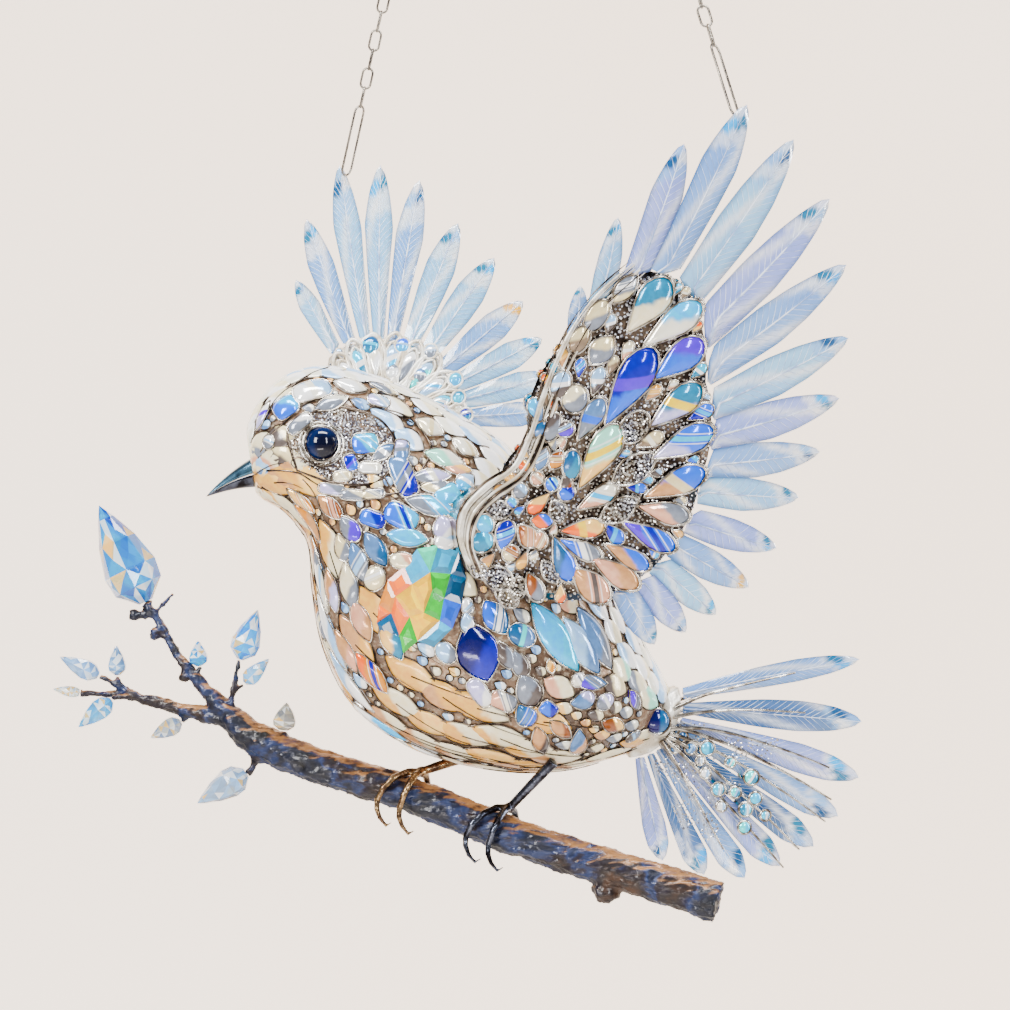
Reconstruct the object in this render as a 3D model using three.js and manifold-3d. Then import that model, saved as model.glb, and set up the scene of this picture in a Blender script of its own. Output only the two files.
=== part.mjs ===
// A crystal bird suncatcher in millimetres, +Z up. The bird perches on a metal branch, faces -X and hangs
// by two chains from one ring. The origin is the inside top of that ring, where a hook bears.
// +Y is the far side of the bird, away from the viewer.
import * as THREE from "three";
import { mergeVertices } from "three/addons/utils/BufferGeometryUtils.js";
import Module from "manifold-3d";

const wasm = await Module();
wasm.setup();

// Fits
const SEAT_GAP = 0.3; // between a stone or feather and the metal that holds it
const SEAT_REACH = 12; // thickness of the tool that trims the feathers

// The whole
const HANG_DROP = 303.3; // hook to the centre of the body
const BODY_ASIDE = -6.5; // body centre, to the left of the hook
const BODY_LENGTH = 98.4; // face to the end of the rump, along X
const BODY_SIDES = 20;
const BODY_ROWS = 18;

// Head
const BEAK_LENGTH = 13.6;
const BEAK_DROOP = 27; // degrees below the horizontal
const BEAK_SIDE = 5; // depth that the beak turns towards the viewer
const EYE_RADIUS = 4.5;
const EYE_ALONG = 0.29; // share of the way from face to rump
const EYE_HEIGHT = 0.545; // share of the way from throat to crown
const EYE_SOCKET_DEPTH = 2.2; // of the eye ball behind the surface of the face

// Near wing, a fan in its own plane
const NEAR_CENTRE = [0.1707, -0.3455, 0.3272]; // from the body's centre, in shares of BODY_LENGTH
const NEAR_TILT = 17; // degrees that the top leans towards the viewer
const NEAR_YAW = 14; // degrees that the tips turn away
const NEAR_FRAME_THICK = 2.4;
const NEAR_WIDTHS = [[-57, 7.6], [-17, 8.4], [6, 9.6], [28, 11], [68, 12], [74, 10.4], [82, 7], [89, 5]];
const NEAR_FEATHER_THICK = 1.9;
const NEAR_ANGLES = [88.5, 82, 74, 67.5, 59, 49, 39, 27.5, 17, 6.5, -4, -17, -28.5, -39, -48, -57];
const NEAR_REACH = [
  [-57, 50], [-29, 57], [0, 61.5], [26, 77], [49, 92.5], [59, 97.5], [68, 99], [74, 85], [83, 62],
  [89, 46],
];
// Rows of pointed stones: their angles, start and end as shares of the edge's reach, width and rise
const NEAR_COVERTS = [
  { angles: [70, 59, 47, 34, 21, 7, -7, -22, -38, -54], from: 0.6, to: 0.97, width: 6.4, rise: 1.8 },
  { angles: [76, 60, 42, 22, 2, -20, -46], from: 0.24, to: 0.58, width: 5, rise: 1.6 },
];
const NEAR_RIM = { from: -265, to: -130, radius: 1.5 }; // the round leading edge
const NEAR_BOSS = { at: [-15, -15], radius: 8.5, depth: 14 }; // joins the wing to the body
const NEAR_STONES = [[-15.5, -11.5, 3.2], [-10, -18.5, 2.6], [-4.5, -9.5, 2.8], [-16.5, -20, 2.2]];
const NEAR_EDGE = [
  [-272, 36], [-230, 13], [-180, 15], [-145, 28], [-90, 30], [-50, 33], [0, 35], [36, 42], [60, 55],
  [74, 54], [88, 36],
];

// Far wing
const FAR_CENTRE = [-0.2947, 0.2236, 0.4766];
const FAR_TILT = -20;
const FAR_YAW = 14;
const FAR_FRAME_THICK = 2.4;
const FAR_WIDTHS = [[5, 7.6], [28, 8.4], [66, 9.2], [95, 9.4], [105, 8.6], [115, 7]];
const FAR_FEATHER_THICK = 2.2;
const FAR_ANGLES = [115, 104.5, 94, 85.5, 77, 66, 54, 40.5, 28.5, 17, 5.5];
const FAR_REACH = [
  [5, 46], [16, 50], [40, 55], [66, 64], [77, 73], [85.5, 75.5], [94, 75], [104.5, 60.5], [115, 45],
];
const FAR_COVERTS = [
  { angles: [108, 92, 76, 60, 44, 28, 11], from: 0.5, to: 0.96, width: 5, rise: 1.4 },
];
const FAR_BOSS = { at: [11, -12], radius: 6, depth: 16 };
const FAR_EDGE = [
  [-238, 22], [-210, 12], [-180, 9], [-120, 12], [-75, 20], [-48, 24], [-20, 20], [5, 24], [60, 24],
  [110, 23], [122, 22],
];

// Tail
const TAIL_CENTRE = [0.3547, 0.0813, -0.2449];
const TAIL_TILT = 6;
const TAIL_YAW = 12;
const TAIL_SOCKET_REACH = 13.5;
const TAIL_SOCKET_INNER = 3.5;
const TAIL_SOCKET_THICK = 8.5; // at the rump
const TAIL_EDGE_THICK = 3.4; // where the feathers seat
const TAIL_WIDTHS = [[-76, 7], [-64, 8.6], [-37, 9.4], [-5, 8.4], [10, 6.2]];
const TAIL_FEATHER_THICK = 1.9;
const TAIL_ANGLES = [10, -5, -18, -28, -37, -46, -55, -64.5, -76];
const TAIL_REACH = [[-76, 42], [-64, 50], [-54, 57], [-37, 63.6], [-19, 66], [-5, 63], [10, 62.5]];
const TAIL_STONE_RADIUS = 2.9;
const TAIL_STONE_AT = [7.4, -5.2]; // in the plane of the tail

// Feathers
const FEATHER_LAP = 0.8; // how far neighbours reach over each other in the near wing
const FEATHER_GAP = 0.5; // between neighbours in the far wing and the tail
const FEATHER_BOW = 0.035; // rise at the middle, as a share of the length
const FEATHER_SHINGLE = 9; // degrees that each turns about its own length

// Branch, along its centre line from the cut end to the twig that carries the large crystal
const BRANCH_RADIUS = 4.7;
const BRANCH_SIDES = 9;
const BRANCH_ROWS = 20;
const BRANCH_LINE = [
  [56.1, -13.8, -71], [37, -9.9, -65.4], [17.4, -5.9, -59.8], [0, -2.4, -54], [-12.5, 0.2, -49],
  [-23.8, 2.4, -45],
  [-42.9, 6.2, -39.6], [-51.9, 7.9, -36.4], [-59.6, 9.4, -32.8], [-64.8, 10.4, -28.8], [-69.9, 11.4, -23.3],
  [-74.7, 12.2, -17.8], [-80.2, 13.2, -11.2], [-83.2, 13.9, -5.6], [-87.1, 14.8, 0.4],
];
const BRANCH_TAPER = [1.1, 1.04, 1, 1, 0.99, 0.98, 0.96, 0.98, 0.94, 0.76, 0.46, 0.33, 0.27, 0.24, 0.24];
const LEFT_TWIG_LINE = [
  [-66, 10.6, -28], [-76.4, 12.7, -26.2], [-84.2, 14.2, -24.2], [-89.3, 15.3, -22.8], [-96, 16.4, -19.5],
];
const LEFT_TWIG_TAPER = [0.55, 0.42, 0.34, 0.27, 0.15];
// Knots and buds: place, and radius as a share of the branch's
const KNOTS = [
  [[28.8, -8.8, -68.8], 0.8], [[24.5, -8.2, -58.6], 0.4], [[-58.4, 9.2, -36.8], 0.58],
  [[-88.1, 14.6, -2], 0.3], [[-90.8, 14.6, -1.8], 0.38], [[-85.5, 13.6, -6.6], 0.36],
  [[-77.9, 12, -17.2], 0.34],
];
const STUB = { from: [-85.8, 14.7, -1.6], to: [-80.9, 14.7, 3.8], radius: 0.7 }; // a bare twig

// Crystals at the ends of the twigs: where the twig leaves the wood, where the stone seats, its lean from
// upright in the plane of the picture, length, width and the twig's radius
const TWIG_CRYSTALS = [
  {
    name: "crystal_bud_large", from: [-86.6, 14.7, -0.2], seat: [-87.9, 14.8, 1.6],
    lean: 26, length: 27.4, width: 14, twig: 1.5, sides: 8,
  },
  {
    name: "crystal_leaf_left_upper", from: [-95.2, 16.3, -19.9], seat: [-100.4, 17.2, -17.4],
    lean: 64, length: 11, width: 5.6, twig: 0.8, sides: 6,
  },
  {
    name: "crystal_leaf_left_tip", from: [-92.4, 16, -22.2], seat: [-105.6, 19.2, -21.9],
    lean: 82, length: 6.8, width: 3.2, twig: 0.8, sides: 6,
  },
  {
    name: "crystal_leaf_left_lower", from: [-89.4, 15.3, -22.9], seat: [-96.6, 13.6, -23.5],
    lean: 129, length: 10.8, width: 6, twig: 0.8, sides: 6,
  },
  {
    name: "crystal_bud_left", from: [-94.4, 16.1, -20.3], seat: [-95.3, 16.3, -17.2],
    lean: 3, length: 7.6, width: 5, twig: 0.6, sides: 6,
  },
  {
    name: "crystal_leaf_under", from: [-75.6, 12.6, -26.6], seat: [-78.8, 13.1, -28.9],
    lean: 118, length: 8.8, width: 5.4, twig: 0.7, sides: 6,
  },
  {
    name: "crystal_leaf_low", from: [-58.4, 9.2, -36.6], seat: [-61.9, 9.8, -41.6],
    lean: 122, length: 14.6, width: 7.6, twig: 1.1, sides: 8,
  },
  {
    name: "crystal_leaf_upper", from: [-66.2, 10.6, -25.8], seat: [-63.5, 10.2, -12.8],
    lean: -20, length: 13.4, width: 7.4, twig: 0.8, sides: 8,
  },
  {
    name: "crystal_leaf_side", from: [-65, 10.4, -21], seat: [-62.2, 10.1, -18.8],
    lean: -45, length: 8.6, width: 5, twig: 0.6, sides: 6,
  },
  {
    name: "crystal_bead", from: [-74.8, 12.2, -17.6], seat: [-74, 11.2, -14.6],
    lean: 2, length: 6.4, width: 5.3, twig: 0.6, sides: 6,
  },
  {
    name: "crystal_on_branch", from: [-51.9, 7.9, -33.4], seat: [-52.2, 8, -30.6],
    lean: -6, length: 7, width: 6.6, twig: 1.1, sides: 6,
  },
];

// Legs and feet: where a leg leaves the belly, in shares of BODY_LENGTH, and the x of its stand on the branch
const LEG_RADIUS = 1.15;
const TOE_RADIUS = 1;
const TOE_WRAP = 122; // degrees round the branch from its top
const HIND_TOE_WRAP = 118;
const CLAW_DROP = 6.6;
const CLAW_HOOK = [ // in shares of the drop
  [0, 0, 0.09], [-0.03, -0.04, -0.36], [0.09, -0.05, -0.7], [0.33, -0.02, -1], [0.56, 0.03, -0.86],
];
const CLAW_RADII = [0.85, 0.8, 0.65, 0.5, 0.2];
const LEGS = [
  { name: "leg_near", hip: [0.1606, -0.0915, -0.376], ankle: 2.8 },
  { name: "leg_far", hip: [-0.0203, 0.0711, -0.3659], ankle: -19.4 },
];
const TOE_SPREADS = [-7.1, -1.1]; // of the front toes along the branch, from the ankle
const HIND_TOE_SPREAD = 2.6;

// Chains and ring
const RING_INNER = 5.4;
const RING_WIRE = 1.2;
const RING_LEG_ANGLE = 22; // degrees from straight down at which each chain pulls on the ring
const LINK_LENGTH = 5.9;
const LINK_WIDTH = 3.3;
const LINK_WIRE = 0.5;
const LINK_BITE = 0.16; // how far linked wires run into each other where they touch
const BAR_LENGTH = 19.5; // the long first link
const BAR_WIDTH = 4.8;
const BAR_WIRE = 0.6;
const BAR_TURN = 14; // degrees that the long link turns about the chain
const HOLE_RADIUS = 1.2;
const HOLE_BACK = 3.6; // from the tip of the feather
const HOLE_ASIDE = 0.7; // from its middle
const TIP_THICK = 0.9;

const radians = THREE.MathUtils.degToRad;
const vector = (p) => new THREE.Vector3(...p);
const bodyCentre = new THREE.Vector3(BODY_ASIDE, 0, -HANG_DROP);

// Finishes
const finish = (color, roughness, metalness, opacity = 1) =>
  new THREE.MeshStandardMaterial({ color, roughness, metalness, opacity, transparent: opacity < 1 });
const materials = {
  bodyGlass: finish("#c9a184", 0.15, 0, 0.85),
  featherGlass: finish("#a9c3e6", 0.12, 0, 0.5),
  farGlass: finish("#a8cbee", 0.08, 0, 0.5),
  crystal: finish("#5fa8e8", 0.03, 0, 0.6),
  silver: finish("#b9b2a4", 0.3, 1),
  steel: finish("#4f7c9f", 0.15, 1),
  eye: finish("#0b1f5c", 0.08, 0),
  branch: finish("#2b2a3c", 0.25, 1),
  claw: finish("#3a2c22", 0.3, 1),
  chain: finish("#8d8478", 0.3, 1),
};

// A closed three.js geometry as a solid for booleans, and back again
function solidFrom(geometry) {
  const bare = new THREE.BufferGeometry().setAttribute("position", geometry.getAttribute("position"));
  if (geometry.index) bare.setIndex(geometry.index);
  const merged = mergeVertices(bare, 1e-3);
  const vertProperties = new Float32Array(merged.attributes.position.array);
  const triVerts = new Uint32Array(merged.index.array);
  return new wasm.Manifold(new wasm.Mesh({ numProp: 3, vertProperties, triVerts }));
}

function geometryFrom(solid) {
  const { vertProperties, triVerts, numProp } = solid.getMesh();
  const position = new Float32Array((vertProperties.length / numProp) * 3);
  for (let i = 0; i < position.length / 3; i++) {
    position.set(vertProperties.subarray(i * numProp, i * numProp + 3), i * 3);
  }
  const geometry = new THREE.BufferGeometry();
  geometry.setAttribute("position", new THREE.BufferAttribute(position, 3));
  geometry.setIndex(new THREE.BufferAttribute(new Uint32Array(triVerts), 1));
  return geometry;
}

const moved = (solid, matrix) => solid.transform(matrix.elements);
const joined = (solids) => solids.reduce((whole, next) => whole.add(next));

// Value of a curve given as [angle, value] keys in rising order of angle
function keyed(keys, at) {
  const next = keys.findIndex(([angle]) => angle >= at);
  if (next <= 0) return next === 0 ? keys[0][1] : keys.at(-1)[1];
  const [[a, low], [b, high]] = [keys[next - 1], keys[next]];
  return low + ((high - low) * (at - a)) / (b - a);
}

// A skin over rings of points, each closed with a fan at the ends
function loft(rings, closed = false) {
  const count = rings[0].length;
  const points = rings.flat();
  const faces = [];
  const bands = closed ? rings.length : rings.length - 1;
  for (let row = 0; row < bands; row++) {
    const [here, next] = [row * count, ((row + 1) % rings.length) * count];
    for (let i = 0; i < count; i++) {
      const side = (i + 1) % count;
      faces.push(here + i, here + side, next + side, here + i, next + side, next + i);
    }
  }
  if (!closed) {
    for (const [row, flip] of [[0, true], [rings.length - 1, false]]) {
      const middle = rings[row].reduce((sum, p) => sum.add(p), new THREE.Vector3()).divideScalar(count);
      points.push(middle);
      for (let i = 0; i < count; i++) {
        const [a, b] = [row * count + i, row * count + ((i + 1) % count)];
        faces.push(points.length - 1, flip ? b : a, flip ? a : b);
      }
    }
  }
  const geometry = new THREE.BufferGeometry().setFromPoints(points);
  geometry.setIndex(faces);
  const solid = solidFrom(geometry);
  if (solid.volume() > 0) return geometry;
  for (let i = 0; i < faces.length; i += 3) [faces[i], faces[i + 1]] = [faces[i + 1], faces[i]];
  geometry.setIndex(faces);
  return geometry;
}

// A rod along points, its radius given at each of them
function rod(points, radii, sides) {
  const rings = [];
  let normal = null;
  points.forEach((p, i) => {
    const ahead = points[Math.min(i + 1, points.length - 1)];
    const behind = points[Math.max(i - 1, 0)];
    const along = ahead.clone().sub(behind).normalize();
    if (!normal) {
      const helper = Math.abs(along.z) < 0.8 ? new THREE.Vector3(0, 0, 1) : new THREE.Vector3(0, 1, 0);
      normal = helper.cross(along).normalize();
    }
    normal.addScaledVector(along, -normal.dot(along)).normalize();
    const binormal = along.clone().cross(normal);
    const ring = [];
    for (let k = 0; k < sides; k++) {
      const turn = (2 * Math.PI * k) / sides;
      const point = p.clone().addScaledVector(normal, radii[i] * Math.cos(turn));
      ring.push(point.addScaledVector(binormal, radii[i] * Math.sin(turn)));
    }
    rings.push(ring);
  });
  return loft(rings);
}

const smoothLine = (points, steps) =>
  new THREE.CatmullRomCurve3(points.map(vector), false, "centripetal").getPoints(steps);

// The body from face to rump, in shares of BODY_LENGTH. Each section runs from a point on the back, given
// along and up, to a point on the throat or belly, and has a place aside and a half width.
const BODY_SECTIONS = [
  { back: [-0.581, 0.395], belly: [-0.576, 0.299], aside: -0.132, half: 0.043 },
  { back: [-0.598, 0.464], belly: [-0.556, 0.283], aside: -0.132, half: 0.084 },
  { back: [-0.546, 0.555], belly: [-0.508, 0.255], aside: -0.132, half: 0.13 },
  { back: [-0.462, 0.604], belly: [-0.47, 0.213], aside: -0.122, half: 0.16 },
  { back: [-0.352, 0.604], belly: [-0.445, 0.161], aside: -0.102, half: 0.18 },
  { back: [-0.226, 0.564], belly: [-0.438, 0.048], aside: -0.076, half: 0.21 },
  { back: [-0.083, 0.492], belly: [-0.412, -0.098], aside: -0.046, half: 0.25 },
  { back: [0.043, 0.413], belly: [-0.33, -0.252], aside: -0.01, half: 0.28 },
  { back: [0.172, 0.274], belly: [-0.164, -0.357], aside: 0.02, half: 0.284 },
  { back: [0.278, 0.126], belly: [0.024, -0.405], aside: 0.046, half: 0.258 },
  { back: [0.361, -0.027], belly: [0.194, -0.406], aside: 0.071, half: 0.208 },
  { back: [0.422, -0.145], belly: [0.332, -0.37], aside: 0.091, half: 0.132 },
  { back: [0.457, -0.208], belly: [0.392, -0.346], aside: 0.107, half: 0.08 },
];

// The body's sections at even steps from face to rump
function bodyRows(steps) {
  const smooth = (point) => smoothLine(BODY_SECTIONS.map(point), steps);
  const backs = smooth(({ back, aside }) => [back[0], aside, back[1]]);
  const bellies = smooth(({ belly, aside }) => [belly[0], aside, belly[1]]);
  const halves = smooth(({ half }, i) => [i * 0.1, half, 0]);
  return backs.map((back, i) => ({
    back: back.multiplyScalar(BODY_LENGTH),
    belly: bellies[i].multiplyScalar(BODY_LENGTH),
    half: halves[i].y * BODY_LENGTH,
  }));
}

// The body as a skin over its sections, grown all round by extra
function bodySolid(extra = 0) {
  const rows = bodyRows(BODY_ROWS);
  const across = new THREE.Vector3(0, 1, 0);
  const rings = rows.map(({ back, belly, half }, row) => {
    const up = back.clone().sub(belly);
    const reach = up.length() / 2 + extra;
    up.normalize();
    const middle = back.clone().add(belly).multiplyScalar(0.5);
    const end = row === 0 ? -extra : row === BODY_ROWS ? extra : 0;
    middle.addScaledVector(across.clone().cross(up), end);
    return Array.from({ length: BODY_SIDES }, (_, k) => {
      const turn = (2 * Math.PI * k) / BODY_SIDES;
      const point = middle.clone().addScaledVector(up, Math.sin(turn) * reach);
      return point.addScaledVector(across, Math.cos(turn) * (half + extra));
    });
  });
  return solidFrom(loft(rings));
}

// Frame of a fan: local x along the level, local y up the fan, local z towards the viewer
function fanGroup(centre, tilt, yaw) {
  const group = new THREE.Group();
  group.position.set(...centre).multiplyScalar(BODY_LENGTH);
  group.rotation.set(Math.PI / 2 + radians(tilt), 0, radians(yaw), "ZXY");
  group.updateMatrix();
  return group;
}

const polar = (angle, reach, height = 0) =>
  new THREE.Vector3(Math.cos(radians(angle)) * reach, Math.sin(radians(angle)) * reach, height);

// Share of the full width of a feather at share s of its length: broad in the middle, pointed at the tip
function bladeShare(s, rootShare, peak) {
  if (s < peak) return rootShare + (1 - rootShare) * Math.sin((Math.PI / 2) * (s / peak));
  return Math.cos((Math.PI / 2) * ((s - peak) / (1 - peak))) ** 0.65;
}

const BLADE_ROWS = [0, 0.2, 0.45, 0.68, 0.85, 0.94, 0.99];

// Where a feather starts before it is trimmed to the edge that it seats on
function rootOf(fan, angle) {
  const half = (keyed(fan.widths, angle) * fan.rootShare) / 2;
  const spread = THREE.MathUtils.radToDeg(Math.asin(half / fan.edge(angle)));
  return Math.min(...[-spread, 0, spread].map((turn) => fan.edge(angle + turn))) - SEAT_GAP;
}

// One feather of a fan: a blade with a ridge on each face, bowed along its length and turned a little
function featherSolid(fan, index, bow) {
  const angle = fan.angles[index];
  const steps = fan.angles.map((other, i) => (i === index ? 360 : Math.abs(other - angle)));
  const share = Math.sin(radians(Math.min(...steps)) / 2);
  const root = rootOf(fan, angle);
  const length = keyed(fan.reach, angle) - root;
  const widest = keyed(fan.widths, angle) / 2;
  const along = polar(angle, 1);
  const outward = new THREE.Vector3(0, 0, 1);
  const across = outward.clone().cross(along).applyAxisAngle(along, radians(FEATHER_SHINGLE));
  const facing = outward.clone().applyAxisAngle(along, radians(FEATHER_SHINGLE));
  const rings = BLADE_ROWS.map((s) => {
    const reach = root + s * length;
    const half = Math.min(widest * bladeShare(s, fan.rootShare, fan.peak), reach * share + fan.lap / 2);
    const thick = Math.max(fan.thick * (1 - s), TIP_THICK) / 2;
    const ridge = Math.min(thick, half);
    const middle = polar(angle, reach).addScaledVector(outward, bow * length * 4 * s * (1 - s));
    return [
      middle.clone().addScaledVector(across, half),
      middle.clone().addScaledVector(facing, ridge),
      middle.clone().addScaledVector(across, -half),
      middle.clone().addScaledVector(facing, -ridge),
    ];
  });
  return solidFrom(loft(rings));
}

// The hole near the tip of the feather that carries a chain, off its middle towards the chain
function holeIn(fan, index, bow) {
  const angle = fan.angles[index];
  const root = rootOf(fan, angle);
  const length = keyed(fan.reach, angle) - root;
  const s = 1 - HOLE_BACK / length;
  const across = new THREE.Vector3(0, 0, 1).cross(polar(angle, 1));
  const middle = polar(angle, root + s * length, bow * length * 4 * s * (1 - s));
  return middle.addScaledVector(across, fan.chainSide * HOLE_ASIDE);
}

function drill(solid, place, angle) {
  const drillBit = solidFrom(new THREE.CylinderGeometry(HOLE_RADIUS, HOLE_RADIUS, 8, 8));
  const turn = new THREE.Matrix4().makeRotationX(Math.PI / 2);
  const along = polar(angle, 1);
  const lean = new THREE.Matrix4().makeRotationAxis(along, radians(FEATHER_SHINGLE));
  const put = new THREE.Matrix4().makeTranslation(place.x, place.y, place.z);
  return solid.subtract(moved(drillBit, put.multiply(lean).multiply(turn)));
}

// A flat plate whose edge is at a keyed distance from the centre of the fan, grown all round by extra
function platePart(edge, thickness, extra = 0) {
  const outline = [];
  for (let angle = edge[0][0]; angle < edge.at(-1)[0]; angle += 9) {
    const p = polar(angle, keyed(edge, angle) + extra);
    outline.push(new THREE.Vector2(p.x, p.y));
  }
  const flat = { depth: thickness, bevelEnabled: false };
  const geometry = new THREE.ExtrudeGeometry(new THREE.Shape(outline), flat);
  geometry.translate(0, 0, -thickness / 2);
  return solidFrom(geometry);
}

// A pointed oval stone that stands on the plate, from one reach to another along an angle
function covertPart(angle, from, to, width, rise, base) {
  const along = polar(angle, 1);
  const across = new THREE.Vector3(-along.y, along.x, 0);
  const shares = [[-0.5, 0.1], [-0.12, 0.95], [0.24, 0.9], [0.5, 0.12]];
  const middle = (from + to) / 2;
  const rings = shares.map(([s, share]) => {
    const centre = polar(angle, middle + s * (to - from));
    const half = (width / 2) * share;
    return [
      centre.clone().addScaledVector(across, half).setZ(base - 0.5),
      centre.clone().addScaledVector(across, half * 0.5).setZ(base + rise * share),
      centre.clone().addScaledVector(across, -half * 0.5).setZ(base + rise * share),
      centre.clone().addScaledVector(across, -half).setZ(base - 0.5),
    ];
  });
  return solidFrom(loft(rings));
}

const covertRow = ({ angles, from, to, width, rise }, edge, base) =>
  angles.map((angle) => covertPart(angle, edge(angle) * from, edge(angle) * to, width, rise, base));

// The boss that joins a wing to the body, on the side of the plate where the body is
function bossPart({ at, radius, depth }, side) {
  const boss = new THREE.CylinderGeometry(radius, radius, depth, 12);
  boss.rotateX(Math.PI / 2);
  boss.translate(at[0], at[1], (side * depth) / 2);
  return solidFrom(boss);
}

const edgeOf = (keys) => (angle) => keyed(keys, angle);

const nearFan = {
  name: "near_wing_feather", angles: NEAR_ANGLES, reach: NEAR_REACH, edge: edgeOf(NEAR_EDGE),
  widths: NEAR_WIDTHS, thick: NEAR_FEATHER_THICK, rootShare: 0.8, peak: 0.42, lap: FEATHER_LAP,
  chainFeather: 3, chainSide: 1,
};
const farFan = {
  name: "far_wing_feather", angles: FAR_ANGLES, reach: FAR_REACH, edge: edgeOf(FAR_EDGE),
  widths: FAR_WIDTHS, thick: FAR_FEATHER_THICK, rootShare: 0.6, peak: 0.5, lap: -FEATHER_GAP,
  chainFeather: 2, chainSide: -1,
};
const tailFan = {
  name: "tail_feather", angles: TAIL_ANGLES, reach: TAIL_REACH, edge: () => TAIL_SOCKET_REACH,
  widths: TAIL_WIDTHS, thick: TAIL_FEATHER_THICK, rootShare: 0.45, peak: 0.68, lap: -FEATHER_GAP,
};

function addMesh(group, name, geometry, material) {
  const mesh = new THREE.Mesh(geometry, material);
  mesh.name = name;
  group.add(mesh);
}

// The feathers of a fan, each trimmed to the edge that it seats on
function addFeathers(group, fan, seat, material, side) {
  fan.angles.forEach((angle, i) => {
    let solid = largestOf(featherSolid(fan, i, side * FEATHER_BOW).subtract(seat));
    if (i === fan.chainFeather) solid = drill(solid, holeIn(fan, i, side * FEATHER_BOW), angle);
    addMesh(group, `${fan.name}_${String(i + 1).padStart(2, "0")}`, geometryFrom(solid), material);
  });
}

// Rod that follows the edge of a plate between two angles, lying on its rim
function rimPart(edge, { from, to, radius }, rise) {
  const steps = 9;
  const points = Array.from({ length: steps + 1 }, (_, i) => {
    const angle = from + ((to - from) * i) / steps;
    return polar(angle, keyed(edge, angle) - radius * 0.6, rise);
  });
  return solidFrom(rod(points, points.map(() => radius), 5));
}

function buildNearWing(bird, bodyRoom) {
  const group = fanGroup(NEAR_CENTRE, NEAR_TILT, NEAR_YAW);
  const face = NEAR_FRAME_THICK / 2;
  const parts = [platePart(NEAR_EDGE, NEAR_FRAME_THICK)];
  parts.push(...NEAR_COVERTS.flatMap((row) => covertRow(row, edgeOf(NEAR_EDGE), face)));
  for (const [x, y, radius] of NEAR_STONES) {
    const stone = new THREE.SphereGeometry(radius, 7, 4);
    stone.scale(1, 1, 0.7);
    stone.translate(x, y, face);
    parts.push(solidFrom(stone));
  }
  parts.push(rimPart(NEAR_EDGE, NEAR_RIM, face));
  parts.push(bossPart(NEAR_BOSS, -1));
  const intoWing = group.matrix.clone().invert();
  const frame = joined(parts).subtract(moved(bodyRoom, intoWing));
  addMesh(group, "near_wing_frame", geometryFrom(largestOf(frame)), materials.silver);
  addFeathers(group, nearFan, platePart(NEAR_EDGE, SEAT_REACH, SEAT_GAP * 1.2), materials.featherGlass, 1);
  bird.add(group);
  return group;
}

function buildFarWing(bird, bodyRoom) {
  const group = fanGroup(FAR_CENTRE, FAR_TILT, FAR_YAW);
  const face = FAR_FRAME_THICK / 2;
  const parts = [platePart(FAR_EDGE, FAR_FRAME_THICK)];
  parts.push(...FAR_COVERTS.flatMap((row) => covertRow(row, edgeOf(FAR_EDGE), face)));
  parts.push(bossPart(FAR_BOSS, 1));
  const intoWing = group.matrix.clone().invert();
  const frame = joined(parts).subtract(moved(bodyRoom, intoWing));
  addMesh(group, "far_wing_frame", geometryFrom(largestOf(frame)), materials.silver);
  addFeathers(group, farFan, platePart(FAR_EDGE, SEAT_REACH, SEAT_GAP * 1.2), materials.farGlass, -1);
  bird.add(group);
  return group;
}

// The piece with the most volume, where a cut leaves scraps
function largestOf(solid) {
  return solid.decompose().sort((a, b) => b.volume() - a.volume())[0];
}

function buildTail(bird, bodyRoom) {
  const group = fanGroup(TAIL_CENTRE, TAIL_TILT, TAIL_YAW);
  const rings = [];
  const [first, last] = [TAIL_ANGLES[0] + 10, TAIL_ANGLES.at(-1) - 14];
  const steps = 10;
  for (let i = 0; i <= steps; i++) {
    const angle = first + ((last - first) * i) / steps;
    const radii = [TAIL_SOCKET_INNER, TAIL_SOCKET_REACH * 0.72, TAIL_SOCKET_REACH];
    const halves = [TAIL_SOCKET_THICK / 2, TAIL_SOCKET_THICK / 2, TAIL_EDGE_THICK / 2];
    rings.push([
      ...radii.map((reach, k) => polar(angle, reach, halves[k])),
      ...radii.map((reach, k) => polar(angle, reach, -halves[k])).reverse(),
    ]);
  }
  const profile = [[0, -1], [1, -1], [1, 0], [0.8, 1], [0.35, 1.7], [0, 1.8]];
  const outline = profile.map(([x, y]) => new THREE.Vector2(x * TAIL_STONE_RADIUS, y));
  const dome = new THREE.LatheGeometry(outline, 10);
  dome.rotateX(Math.PI / 2);
  dome.translate(TAIL_STONE_AT[0], TAIL_STONE_AT[1], TAIL_SOCKET_THICK / 2);
  const intoTail = group.matrix.clone().invert();
  const socket = solidFrom(loft(rings)).add(solidFrom(dome)).subtract(moved(bodyRoom, intoTail));
  addMesh(group, "tail_socket", geometryFrom(largestOf(socket)), materials.silver);
  const seat = platePart([[-180, TAIL_SOCKET_REACH], [180, TAIL_SOCKET_REACH]], SEAT_REACH, SEAT_GAP);
  addFeathers(group, tailFan, seat, materials.featherGlass, -1);
  bird.add(group);
}

// Middle of the flat of the face, and the way that it looks
function facePlane() {
  const { back, belly } = bodyRows(BODY_ROWS)[0];
  const up = back.clone().sub(belly).normalize();
  return { at: back.clone().add(belly).multiplyScalar(0.5), out: up.cross(new THREE.Vector3(0, 1, 0)) };
}

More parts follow.
